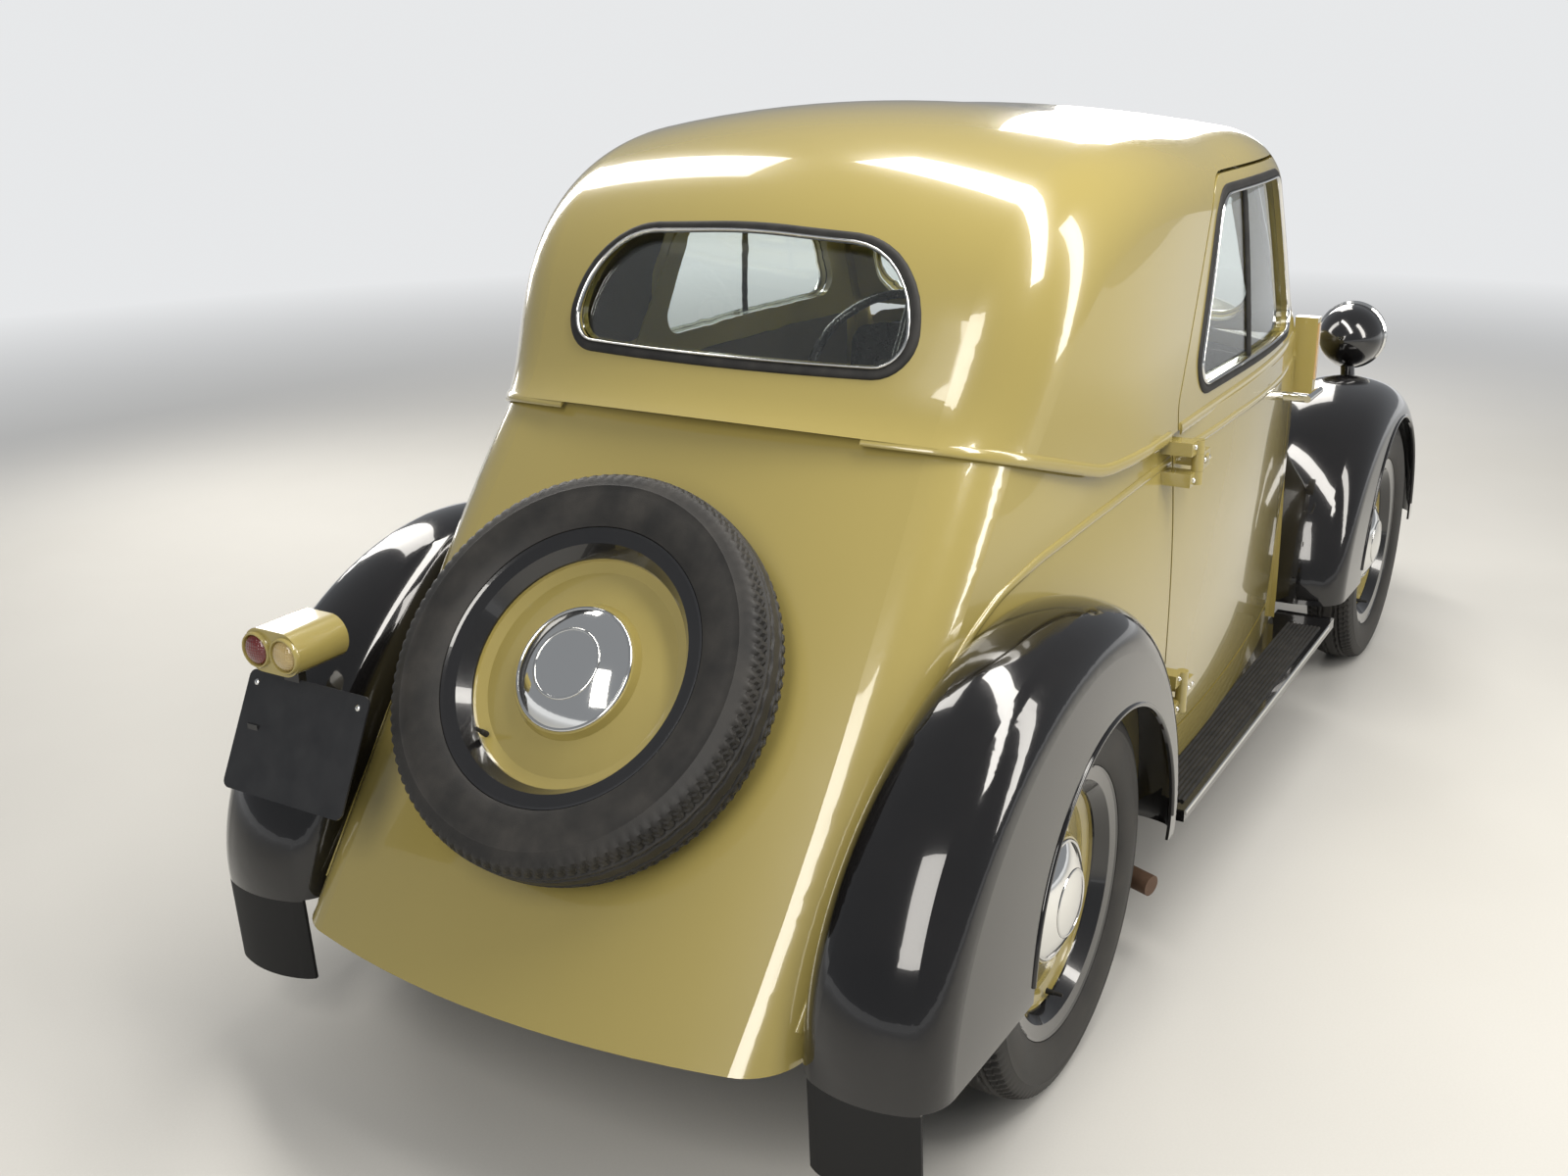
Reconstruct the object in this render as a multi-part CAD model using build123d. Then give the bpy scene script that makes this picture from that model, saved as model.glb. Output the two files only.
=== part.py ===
from build123d import *
import os
from math import acos, atan2, cos, degrees, hypot, radians, sin, sqrt, tan

# A small two-door city car of the late thirties, in millimetres.
# +X points forward, +Y to the car's left and +Z up.
# The tables below count x from midway between the axles; the whole car is then
# shifted so that the origin lies on the ground under the middle of its length.
ORIGIN_SHIFT = 5

# Running gear
WHEELBASE = 2000
TRACK_FRONT = 1114
TRACK_REAR = 1083
TYRE_RADIUS = 292
TYRE_HALF_WIDTH = 54
RIM_RADIUS = 203
RIM_HALF_WIDTH = 42
RIM_STEP = 31
DISC_RADIUS = 150
DRUM_RADIUS = 115
DRUM_BACK = -50
HUBCAP_RADIUS = 90
HUBCAP_BASE = 24
HUBCAP_TOP = 52
STUB_RADIUS = 14
KINGPIN_Y = 480
KINGPIN_RADIUS = 17

# Body sheet and gaps
APEX = 5
BODY_WALL = 30
WING_SHEET = 5
BONNET_SHEET = 8
GLASS = 5
SHUT_GAP = 5
MOVING_GAP = 6
SEAT_GAP = 0.3

# Heights
FLOOR_Z = 262
FLOOR_SHEET = 12
SHELF_Z = 430
CHASSIS_BOTTOM = 188

REAR_X = -WHEELBASE / 2
FRONT_X = WHEELBASE / 2
AXLE_Z = TYRE_RADIUS


def block(x0, x1, y0, y1, z0, z1):
    """A box between two corners."""
    return Pos((x0 + x1) / 2, (y0 + y1) / 2, (z0 + z1) / 2) * Box(x1 - x0, y1 - y0, z1 - z0)


def rod(start, end, radius):
    """A round bar from start to end."""
    a, b = Vector(*start), Vector(*end)
    return Solid.make_cylinder(radius, (b - a).length, Plane(origin=a, z_dir=b - a))


def pipe(points, radius):
    """A round bar along a chain of points with ball corners."""
    whole = rod(points[0], points[1], radius)
    for a, b in zip(points[1:-1], points[2:]):
        whole += Pos(*a) * Sphere(radius)
        whole += rod(a, b, radius)
    return whole


def mirrored(part):
    """The same part on the car's other side."""
    return part.mirror(Plane.XZ)


def sheet_plane(x, z, lean):
    """A cross-section plane through (x, 0, z): local x is the car's +Y, local y leans back by lean degrees."""
    return Plane(
        origin=(x, 0, z),
        x_dir=(0, 1, 0),
        z_dir=(cos(radians(lean)), 0, sin(radians(lean))),
    )


def side_plane(y):
    """A plane at y whose local x is the car's +X and local y its +Z."""
    return Plane(origin=(0, y, 0), x_dir=(1, 0, 0), z_dir=(0, -1, 0))


def level_plane(x, z):
    """A level plane whose local x is the car's +Y and local y points back."""
    return Plane(origin=(x, 0, z), x_dir=(0, 1, 0), z_dir=(0, 0, 1))


def rounded(plane, corners):
    """A closed outline of straight lines; each corner is (x, y, radius)."""
    spots = []
    for k, (x, y, radius) in enumerate(corners):
        before, after = corners[k - 1], corners[(k + 1) % len(corners)]
        u, v = (
            ((p[0] - x) / hypot(p[0] - x, p[1] - y), (p[1] - y) / hypot(p[0] - x, p[1] - y))
            for p in (before, after)
        )
        half = acos(u[0] * v[0] + u[1] * v[1]) / 2
        cut = radius / tan(half)
        reach = radius / sin(half) - radius
        across = hypot(u[0] + v[0], u[1] + v[1])
        middle = (x + (u[0] + v[0]) / across * reach, y + (u[1] + v[1]) / across * reach)
        spots.append(((x + u[0] * cut, y + u[1] * cut), middle, (x + v[0] * cut, y + v[1] * cut), radius))
    line = []
    for k, (start, middle, end, radius) in enumerate(spots):
        if radius:
            line.append(ThreePointArc(start, middle, end))
        line.append(Line(end, spots[(k + 1) % len(spots)][0]))
    return Wire([plane.from_local_coords(edge) for edge in line])


def prism(plane, corners, depth):
    """A rounded outline pushed out along the plane's normal by depth."""
    return Solid.extrude(Face(rounded(plane, corners)), plane.z_dir * depth)


def side_prism(corners, y0, y1):
    """A rounded outline in the side view, as deep as from y0 to y1."""
    return prism(side_plane(max(y0, y1)), corners, abs(y1 - y0))


def arc_centre(a, b, bulge):
    """Centre and radius of the circle through a and b whose middle stands off the chord by bulge, to its right."""
    chord = hypot(b[0] - a[0], b[1] - a[1])
    radius = (chord**2 / 4 + bulge**2) / (2 * bulge)
    normal = ((b[1] - a[1]) / chord, -(b[0] - a[0]) / chord)
    reach = bulge - radius
    return ((a[0] + b[0]) / 2 + normal[0] * reach, (a[1] + b[1]) / 2 + normal[1] * reach), radius


def on_circle(centre, radius, towards):
    """The point of a circle that lies towards another point."""
    away = hypot(towards[0] - centre[0], towards[1] - centre[1])
    return tuple(c + (t - c) * radius / away for c, t in zip(centre, towards))


def arch(half_foot, half_top, height, sag, corner, belly, middle=0.0, foot=0.0, inset=0.0):
    """A closed arch of five arcs on a straight foot: two bellied legs, two round corners and a crown.

    half_foot and half_top are half widths at the foot and where leg and crown would meet, sag is how far the
    crown drops to there, and middle shifts the arch sideways. inset draws the parallel arch inside it.
    """
    shoulder = (half_top, height - sag)
    leg_centre, leg_radius = arc_centre((half_foot, 0.0), shoulder, belly)
    crown_radius = (half_top**2 + sag**2) / (2 * sag)
    crown_centre = (0.0, height - crown_radius)
    # The corner's centre keeps its distance from both circles.
    to_leg, to_crown = leg_radius - corner, crown_radius - corner
    span = hypot(leg_centre[0] - crown_centre[0], leg_centre[1] - crown_centre[1])
    along = (to_leg**2 - to_crown**2 + span**2) / (2 * span)
    off = sqrt(to_leg**2 - along**2)
    ux, uy = ((crown_centre[i] - leg_centre[i]) / span for i in (0, 1))
    base = (leg_centre[0] + ux * along, leg_centre[1] + uy * along)
    choices = [(base[0] - uy * off * s, base[1] + ux * off * s) for s in (1, -1)]
    centre = min(choices, key=lambda p: hypot(p[0] - shoulder[0], p[1] - shoulder[1]))
    leg_end = on_circle(leg_centre, leg_radius - inset, centre)
    crown_end = on_circle(crown_centre, crown_radius - inset, centre)
    between = tuple((a + b) / 2 for a, b in zip(leg_end, crown_end))
    corner_mid = on_circle(centre, corner - inset, between)
    # The foot lies where the leg's circle crosses the foot line.
    foot_y = leg_centre[0] + sqrt((leg_radius - inset) ** 2 - (foot - leg_centre[1]) ** 2)
    start = (foot_y, foot)
    leg_mid = on_circle(leg_centre, leg_radius - inset, tuple((a + b) / 2 for a, b in zip(start, leg_end)))

    def at(point, side=1):
        return (middle + side * point[0], point[1])

    arcs = [
        ThreePointArc(at(start), at(leg_mid), at(leg_end)),
        ThreePointArc(at(leg_end), at(corner_mid), at(crown_end)),
        ThreePointArc(at(crown_end), at((0, height - inset)), at(crown_end, -1)),
        ThreePointArc(at(crown_end, -1), at(corner_mid, -1), at(leg_end, -1)),
        ThreePointArc(at(leg_end, -1), at(leg_mid, -1), at(start, -1)),
    ]
    return arcs, at(start), at(start, -1)


def band(plane, sheet, row, middle=0.0, foot=0.0, inset=0.0):
    """The closed outline of an arch-shaped strip, as thick as the sheet."""
    outer, outer_start, outer_end = arch(*row, middle=middle, foot=foot, inset=inset)
    inner, inner_start, inner_end = arch(*row, middle=middle, foot=foot, inset=inset + sheet)
    line = outer + [Line(outer_end, inner_end)] + inner[::-1] + [Line(inner_start, outer_start)]
    return Wire([plane.from_local_coords(edge) for edge in line])


def filled(plane, row, middle=0.0, foot=0.0, inset=0.0):
    """The closed outline of a whole arch."""
    outer, start, end = arch(*row, middle=middle, foot=foot, inset=inset)
    return Wire([plane.from_local_coords(edge) for edge in outer + [Line(end, start)]])


# The glasshouse: arches whose plane passes through (x, z = foot), fanned out over the tail
HOUSE_FOOT_Z = 530
HOUSE_FOOT = 300
SCREEN_LEAN = 27
SCREEN_FOOT_X = 563
# Columns: foot x, lean, half foot, half top, height, sag, corner radius, belly
HOUSE = [
    (SCREEN_FOOT_X, SCREEN_LEAN, 520, 470, 868, 42, 95, 14),
    (159, 9, 545, 508, 836, 50, 120, 14),
    (-230, 0, 555, 514, 840, 64, 137, 12),
    (-450, 12, 550, 498, 852, 62, 146, 20),
    (-450, 36, 537, 464, 808, 62, 153, 36),
    (-450, 49, 524, 441, 749, 62, 151, 42),
    (-450, 57, 512, 428, 775, 60, 140, 44),
]

# The tub: level sections from the floor to the shoulder, each an arch that lies on its back
TUB_FRONT_X = 405
# Columns: z, tail x, half front, half tail, sag, corner radius, belly
TUB = [
    (FLOOR_Z, -1606, 500, 404, 58, 88, 90),
    (633, -1307, 508, 425, 62, 110, 88),
    (880, -1107, 505, 428, 62, 130, 84),
    (1000, -1010, 498, 420, 62, 130, 82),
]

# The cowl, bonnet and nose: arches fanned out over the front
NOSE_FOOT_Z = 120
NOSE_FOOT = 150
NOSE_PIVOT_X = 1180
# Columns: foot x, lean, half foot, half top, height, sag, corner radius, belly
NOSE = [
    (290, 0, 512, 505, 800, 48, 85, 8),
    (420, 0, 506, 486, 792, 52, 90, 8),
    (640, 0, 412, 345, 782, 60, 110, 10),
    (980, 0, 322, 262, 750, 70, 110, 12),
    (NOSE_PIVOT_X, -8, 291, 220, 705, 66, 100, 12),
    (NOSE_PIVOT_X, -27, 282, 182, 655, 52, 90, 12),
    (NOSE_PIVOT_X, -46, 272, 156, 548, 40, 80, 12),
    (NOSE_PIVOT_X, -64, 262, 145, 463, 34, 74, 12),
]

# The wings: arches that stand on the wheel's axle and fan out round it
WING_FOOT = 200
# Columns: lean, middle, half foot, half top, height, sag, corner radius, belly
FRONT_WING = [
    (92, 491, 138, 132, 505, 26, 60, 6),
    (70, 491, 142, 134, 488, 30, 70, 7),
    (42, 491, 145, 134, 448, 36, 84, 8),
    (8, 491, 145, 132, 405, 40, 92, 8),
    (-28, 491, 145, 128, 398, 40, 92, 8),
    (-62, 491, 144, 122, 428, 36, 88, 8),
    (-94, 491, 142, 118, 462, 30, 78, 7),
]
REAR_WING = [
    (93, 517, 116, 100, 535, 30, 60, 5),
    (70, 519, 114, 98, 512, 30, 66, 6),
    (48, 523, 110, 94, 478, 30, 70, 6),
    (20, 529, 105, 90, 450, 30, 70, 6),
    (-10, 532, 102, 88, 444, 30, 70, 6),
    (-55, 533, 101, 88, 430, 26, 64, 6),
    (-97, 533, 99, 88, 420, 20, 52, 5),
]
ARCH_RADIUS = 306
WELL_RADIUS = 330
WELL_Y = 425


def house_band(sheet, inset=0.0):
    """The glasshouse as a shell of the given thickness."""
    return Solid.make_loft([
        band(sheet_plane(row[0], HOUSE_FOOT_Z, row[1]), sheet, row[2:], foot=HOUSE_FOOT, inset=inset)
        for row in HOUSE
    ])


def tub_arch(row):
    """The tub's section table row as an arch, measured back from the tub's front."""
    z, tail_x, half_front, half_tail, sag, corner, belly = row
    return half_front, half_tail, TUB_FRONT_X - tail_x, sag, corner, belly


def tub_band(sheet):
    """The lower body as a shell of the given thickness."""
    return Solid.make_loft([band(level_plane(TUB_FRONT_X, row[0]), sheet, tub_arch(row)) for row in TUB])


def tub(inset=0.0):
    """The lower body as one solid; inset draws it in."""
    return Solid.make_loft([filled(level_plane(TUB_FRONT_X, row[0]), tub_arch(row), inset=inset) for row in TUB])


def nose_band(sheet):
    """Cowl, bonnet and nose as a shell of the given thickness."""
    return Solid.make_loft([
        band(sheet_plane(row[0], NOSE_FOOT_Z, row[1]), sheet, row[2:], foot=NOSE_FOOT) for row in NOSE
    ])


def nose(inset=0.0):
    """Cowl, bonnet and nose as one solid; inset draws it in."""
    return Solid.make_loft([
        filled(sheet_plane(row[0], NOSE_FOOT_Z, row[1]), row[2:], foot=NOSE_FOOT, inset=inset) for row in NOSE
    ])


def wing_band(table, axle_x):
    """A left wing as a sheet over its wheel."""
    return Solid.make_loft([
        band(sheet_plane(axle_x, AXLE_Z, row[0]), WING_SHEET, row[2:], middle=row[1], foot=WING_FOOT)
        for row in table
    ])


def wing_full(table, axle_x):
    """A left wing with all the room under it, as one solid that stands SEAT_GAP proud."""
    return Solid.make_loft([
        filled(sheet_plane(axle_x, AXLE_Z, row[0]), row[2:], middle=row[1], foot=WING_FOOT, inset=-SEAT_GAP)
        for row in table
    ])


def profile_ring(corners, closed_arc=None):
    """A wheel part turned about the Y axis; each corner of its profile is (y, radius)."""
    plane = Plane(origin=(0, 0, 0), x_dir=(0, 1, 0), z_dir=(1, 0, 0))
    line = [Line(a, b) for a, b in zip(corners, corners[1:])]
    if closed_arc:
        line.append(ThreePointArc(corners[-1], closed_arc, corners[0]))
    else:
        line.append(Line(corners[-1], corners[0]))
    return revolve(Face(Wire([plane.from_local_coords(edge) for edge in line])), Axis.Y, 360)


# Part line between cowl and bonnet, and the seam round the belt
COWL_X = 640
BONNET_X = COWL_X + 8
SCREEN_X = 405
SCREEN_BASE_Z = 840
SEAM = [(-1300, 1040, 0), (-1075, 965, 80), (-760, 872, 200), (-500, 884, 0), (700, 905, 0)]
ABOVE_SEAM = SEAM + [(700, 1500, 0), (-1300, 1500, 0)]
BELOW_SEAM = [(x, z - SEAT_GAP, r) for x, z, r in SEAM] + [(700, 0, 0), (-1900, 0, 0), (-1900, 1240, 0)]
SCREEN_TAN = tan(radians(SCREEN_LEAN))
BEHIND_SCREEN = [
    (-1900, 0, 0), (SCREEN_X, 0, 0), (SCREEN_X, SCREEN_BASE_Z, 0), (SCREEN_X - 200 * SCREEN_TAN, 1040, 0),
    (-1900, 1040, 0),
]
BEFORE_SCREEN = [
    (SCREEN_X, 0, 0), (SCREEN_X, SCREEN_BASE_Z, 0), (SCREEN_X - 120 * SCREEN_TAN, 960, 0),
    (COWL_X, 960, 0), (COWL_X, 0, 0),
]

# Windscreen, in the leaning plane of the glasshouse's front
SCREEN_FRAME = 26
SCREEN_PLANE = sheet_plane(SCREEN_FOOT_X, HOUSE_FOOT_Z, SCREEN_LEAN)
SCREEN_LOW = 446
SCREEN_HIGH = 776
SCREEN_OPENING = [
    (-425, SCREEN_LOW, 70), (425, SCREEN_LOW, 70), (398, SCREEN_HIGH, 60), (-398, SCREEN_HIGH, 60),
]
PANEL_FOOT = 426

# Rear window, a half moon
# Columns: y, z, corner radius
REAR_WINDOW = [
    (-295, 1040, 45), (295, 1040, 45), (285, 1200, 125), (0, 1216, 1200), (-285, 1200, 125),
]

# Doors and their windows, in the side view
DOOR = [
    (-500, 330, 40), (335, 330, 30), (335, 895, 120), (160, 1266, 45), (-290, 1266, 110), (-505, 925, 60),
]
WINDOW = [(-415, 929, 40), (255, 929, 38), (125, 1231, 40), (-270, 1231, 80)]
HINGE_X = -512
HINGE_Y = 584
HINGE_HEIGHTS = (447, 840)
HINGE_RADIUS = 10
BARREL_HALF = 14
LEAF_HALF = 36


def shrunk(corners, gap):
    """A rounded outline, run anticlockwise, drawn in by gap on every side."""
    lines = []
    count = len(corners)
    for k in range(count):
        (ax, ay, _), (bx, by, _) = corners[k], corners[(k + 1) % count]
        length = hypot(bx - ax, by - ay)
        ux, uy = (bx - ax) / length, (by - ay) / length
        lines.append((ax - uy * gap, ay + ux * gap, ux, uy))
    result = []
    for k in range(count):
        ax, ay, ux, uy = lines[k - 1]
        bx, by, vx, vy = lines[k]
        t = ((bx - ax) * vy - (by - ay) * vx) / (ux * vy - uy * vx)
        radius = corners[k][2]
        result.append((ax + ux * t, ay + uy * t, max(radius - gap, 1) if radius else 0))
    return result


def screen_cut(shrink, back, depth):
    """The windscreen opening as a prism that starts back behind the leaning face."""
    plane = Plane(
        origin=SCREEN_PLANE.origin - SCREEN_PLANE.z_dir * back,
        x_dir=SCREEN_PLANE.x_dir,
        z_dir=SCREEN_PLANE.z_dir,
    )
    return prism(plane, shrunk(SCREEN_OPENING, shrink) if shrink else SCREEN_OPENING, depth)


def rear_window_cut(shrink=0.0):
    """The half-moon opening as a prism through the back of the glasshouse."""
    corners = shrunk(REAR_WINDOW, shrink) if shrink else REAR_WINDOW
    return prism(sheet_plane(-1200, 0, 0), corners, 500)


parts = {}

# Roof with its quarters, tub with the tail, and the cowl, each as thick as the wall
upper = house_band(BODY_WALL) & side_prism(ABOVE_SEAM, -700, 700)
whole_tub = tub_band(BODY_WALL)
lower = whole_tub & side_prism(BELOW_SEAM, -700, 700)
lower = lower & side_prism(BEHIND_SCREEN, -700, 700)
door_cut = side_prism(DOOR, 300, 700)
door_inside = side_prism(shrunk(DOOR, SHUT_GAP), 300, 700)
roof = upper - door_cut - mirrored(door_cut) - rear_window_cut()
tub_shell = lower - door_cut - mirrored(door_cut)
for side in (1, -1):
    tub_shell -= rod((REAR_X, side * WELL_Y, AXLE_Z), (REAR_X, side * 700, AXLE_Z), WELL_RADIUS)
cowl = nose_band(BODY_WALL) & side_prism(BEFORE_SCREEN, -700, 700)
cowl = cowl.moved(Location((SEAT_GAP, 0, 0)))

# Windscreen frame, a leaning panel inside the front of the roof
panel_plane = Plane(
    origin=SCREEN_PLANE.origin - SCREEN_PLANE.z_dir * SCREEN_FRAME,
    x_dir=SCREEN_PLANE.x_dir,
    z_dir=SCREEN_PLANE.z_dir,
)
screen_frame = Solid.extrude(
    Face(filled(panel_plane, HOUSE[0][2:], foot=PANEL_FOOT, inset=BODY_WALL + 2 * SEAT_GAP)),
    SCREEN_PLANE.z_dir * SCREEN_FRAME,
)
screen_frame -= screen_cut(0, 60, 200)

# Spare wheel seat on the tail
SPARE_X = -1362
SPARE_Z = 664
SPARE_TILT = 39.9
SPARE_BACK = 8
BOSS_RADIUS = 58
BOSS_REACH = 96
spare_out = Vector(-cos(radians(SPARE_TILT)), 0, sin(radians(SPARE_TILT)))
spare_hub = Vector(SPARE_X, 0, SPARE_Z)
boss_start = spare_hub - spare_out * BOSS_REACH
tub_shell += Solid.make_cylinder(
    BOSS_RADIUS, BOSS_REACH - SPARE_BACK - SEAT_GAP, Plane(origin=boss_start, z_dir=spare_out)
)

# Doors on outside hinges at their rear edges
door_seam = side_prism([(x, z, 0) for x, z, r in SEAM] + [(700, 0, 0), (-1300, 0, 0)], 300, 700)
door_left = (upper & door_inside) + (whole_tub & door_inside & door_seam)
door_left -= side_prism(WINDOW, 300, 700)
glass_band = Solid.make_loft([
    band(sheet_plane(row[0], HOUSE_FOOT_Z, row[1]), GLASS, row[2:], foot=HOUSE_FOOT, inset=12) for row in HOUSE
])
glass_left = glass_band & side_prism(shrunk(WINDOW, SEAT_GAP), 300, 700)
for height in HINGE_HEIGHTS:
    for z0, z1 in (
        (height - LEAF_HALF, height - BARREL_HALF - SEAT_GAP),
        (height + BARREL_HALF + SEAT_GAP, height + LEAF_HALF),
    ):
        leaf = block(HINGE_X - 34, HINGE_X, 528, HINGE_Y, z0, z1)
        leaf += rod((HINGE_X, HINGE_Y, z0), (HINGE_X, HINGE_Y, z1), HINGE_RADIUS)
        tub_shell += leaf
        tub_shell += mirrored(leaf)
    hinge = block(HINGE_X, HINGE_X + 46, HINGE_Y - 4, HINGE_Y + 6, height - BARREL_HALF, height + BARREL_HALF)
    hinge += block(HINGE_X + 22, HINGE_X + 46, 530, HINGE_Y, height - BARREL_HALF, height + BARREL_HALF)
    hinge += rod((HINGE_X, HINGE_Y, height - BARREL_HALF), (HINGE_X, HINGE_Y, height + BARREL_HALF), HINGE_RADIUS)
    door_left += hinge

# Door handles near the front edges
HANDLE_X = 215
HANDLE_Z = 800
HANDLE_Y = 584
handle = rod((HANDLE_X, 520, HANDLE_Z), (HANDLE_X, HANDLE_Y, HANDLE_Z), 9) - tub(-SEAT_GAP)
handle += rod((HANDLE_X - 12, HANDLE_Y, HANDLE_Z), (HANDLE_X + 88, HANDLE_Y, HANDLE_Z), 7)
handle += Pos(HANDLE_X + 88, HANDLE_Y, HANDLE_Z) * Sphere(7)

# Trafficator housings on the screen pillars' feet
trafficator = block(SCREEN_X + SEAT_GAP, 431, 500, 546, 752, 925) - nose(-SEAT_GAP)

parts["roof_shell"] = roof
parts["tub_shell"] = tub_shell
parts["windscreen_frame"] = screen_frame
parts["trafficator_left"] = trafficator
parts["trafficator_right"] = mirrored(trafficator)
parts["door_left"] = door_left
parts["door_right"] = mirrored(door_left)
parts["door_glass_left"] = glass_left
parts["door_glass_right"] = mirrored(glass_left)
parts["door_handle_left"] = handle
parts["door_handle_right"] = mirrored(handle)
parts["rear_window"] = glass_band & rear_window_cut(SEAT_GAP)
parts["windscreen"] = screen_cut(SEAT_GAP, SCREEN_FRAME / 2 + GLASS, GLASS)

# Bonnet with the nose, and the apron under it
BONNET_REAR_Z = 650
BONNET_TIP_Z = 400
BONNET_LINE = [
    (BONNET_X, BONNET_REAR_Z, 0), (1700, BONNET_TIP_Z, 0), (1700, 1000, 0), (BONNET_X, 1000, 0),
]
APRON_LINE = [
    (COWL_X + SEAT_GAP, BONNET_REAR_Z - MOVING_GAP, 0), (COWL_X + SEAT_GAP, 272, 0), (1700, 272, 0),
    (1700, BONNET_TIP_Z - MOVING_GAP, 0),
]
nose_skin = nose_band(BONNET_SHEET)
bonnet = nose_skin & side_prism(BONNET_LINE, -700, 700)
apron = nose_skin & side_prism(APRON_LINE, -700, 700)
apron -= block(FRONT_X - 60, FRONT_X + 60, -400, 400, 200, 470)
# Columns: y, z, corner radius
GRILLE = [(-62, 440, 30), (62, 440, 30), (118, 620, 60), (74, 775, 40), (-74, 775, 40), (-118, 620, 60)]
# Bonnet hinges on the cowl's top
LID_HINGE_X = COWL_X + 2
LID_HINGE_Z = 910
LID_HINGE_RADIUS = 7
LID_HINGE_Y = (45, 75, 105)
near_y, mid_y, far_y = LID_HINGE_Y
cowl_leaf = block(LID_HINGE_X - 34, LID_HINGE_X, near_y, mid_y, 890, LID_HINGE_Z - 3)
cowl_leaf -= block(COWL_X + SEAT_GAP, LID_HINGE_X + 1, near_y, mid_y, 880, LID_HINGE_Z - LID_HINGE_RADIUS)
cowl_leaf += rod((LID_HINGE_X, near_y, LID_HINGE_Z), (LID_HINGE_X, mid_y, LID_HINGE_Z), LID_HINGE_RADIUS)
bonnet_leaf = block(LID_HINGE_X + 4, LID_HINGE_X + 40, mid_y + SEAT_GAP, far_y, 892, LID_HINGE_Z - 3)
bonnet_leaf += rod(
    (LID_HINGE_X, mid_y + SEAT_GAP, LID_HINGE_Z), (LID_HINGE_X, far_y, LID_HINGE_Z), LID_HINGE_RADIUS,
)
for leaf in (cowl_leaf, mirrored(cowl_leaf)):
    cowl += leaf
for leaf in (bonnet_leaf, mirrored(bonnet_leaf)):
    bonnet += leaf
front_plane = Plane(origin=(1300, 0, 0), x_dir=(0, 1, 0), z_dir=(1, 0, 0))
bonnet -= prism(front_plane, GRILLE, 400)
parts["cowl"] = cowl
parts["bonnet"] = bonnet
parts["front_apron"] = apron

# Grille: bars fanned like the nose's own sections, on three upright ribs
BAR_HEIGHT = 4
BAR_DEPTH = 9
BAR_SETBACK = 2
BAR_STEP = 1.5
BAR_FIRST = -19.5
BAR_LAST = -49.5
RIB_DEPTH = 14
RIB_WIDTH = 7
NOSE_FAN = NOSE[4:]


def nose_value(lean, column):
    """A column of the nose table between its fanned rows, by the curve through all of them."""
    total = 0
    for row in NOSE_FAN:
        weight = row[column]
        for other in NOSE_FAN:
            if other is not row:
                weight *= (lean - other[1]) / (row[1] - other[1])
        total += weight
    return total


def grille_half(z):
    """Half width of the grille opening at a height."""
    points = [(440, 62), (620, 118), (775, 74)]
    for (z0, w0), (z1, w1) in zip(points, points[1:]):
        if z <= z1:
            return w0 + (w1 - w0) * (z - z0) / (z1 - z0)
    return points[-1][1]


def nose_point(lean, inset):
    """The nose's middle line in the side view, inset below the skin."""
    reach = nose_value(lean, 4) - inset
    return NOSE_PIVOT_X - reach * sin(radians(lean)), NOSE_FOOT_Z + reach * cos(radians(lean))


def grille_bar(lean):
    """One bar: a shallow arc strip in its own fan plane."""
    height, half_top, sag = (nose_value(lean, column) for column in (4, 3, 5))
    radius = (half_top**2 + sag**2) / (2 * sag)
    half = grille_half(nose_point(lean, 0)[1]) + 8
    plane = sheet_plane(NOSE_PIVOT_X, NOSE_FOOT_Z, lean)
    top, under = height - BAR_SETBACK, height - BAR_SETBACK - BAR_DEPTH
    drop = radius - sqrt(radius**2 - half**2)
    line = [
        ThreePointArc((half, top - drop), (0, top), (-half, top - drop)),
        Line((-half, top - drop), (-half, under - drop)),
        ThreePointArc((-half, under - drop), (0, under), (half, under - drop)),
        Line((half, under - drop), (half, top - drop)),
    ]
    face = Face(Wire([plane.from_local_coords(edge) for edge in line]))
    return Solid.extrude(face, plane.z_dir * BAR_HEIGHT)


def grille_rib(y, setback):
    """An upright rib behind the bars, swept in the side view."""
    plane = side_plane(y + RIB_WIDTH / 2)
    ends = (BAR_FIRST + 1, (BAR_FIRST + BAR_LAST) / 2, BAR_LAST - 1)
    outer = [nose_point(lean, setback) for lean in ends]
    inner = [nose_point(lean, setback + RIB_DEPTH) for lean in ends]
    line = [
        ThreePointArc(*outer), Line(outer[2], inner[2]), ThreePointArc(*inner[::-1]), Line(inner[0], outer[0]),
    ]
    face = Face(Wire([plane.from_local_coords(edge) for edge in line]))
    return Solid.extrude(face, plane.z_dir * RIB_WIDTH)


bar_count = round((BAR_FIRST - BAR_LAST) / BAR_STEP) + 1
bars = [grille_bar(BAR_FIRST - BAR_STEP * k) for k in range(bar_count)]
grille = grille_rib(0, 4).fuse(grille_rib(-46, 10), grille_rib(46, 10), *bars)
grille = grille & prism(front_plane, shrunk(GRILLE, SEAT_GAP), 400)
parts["grille"] = grille

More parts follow.
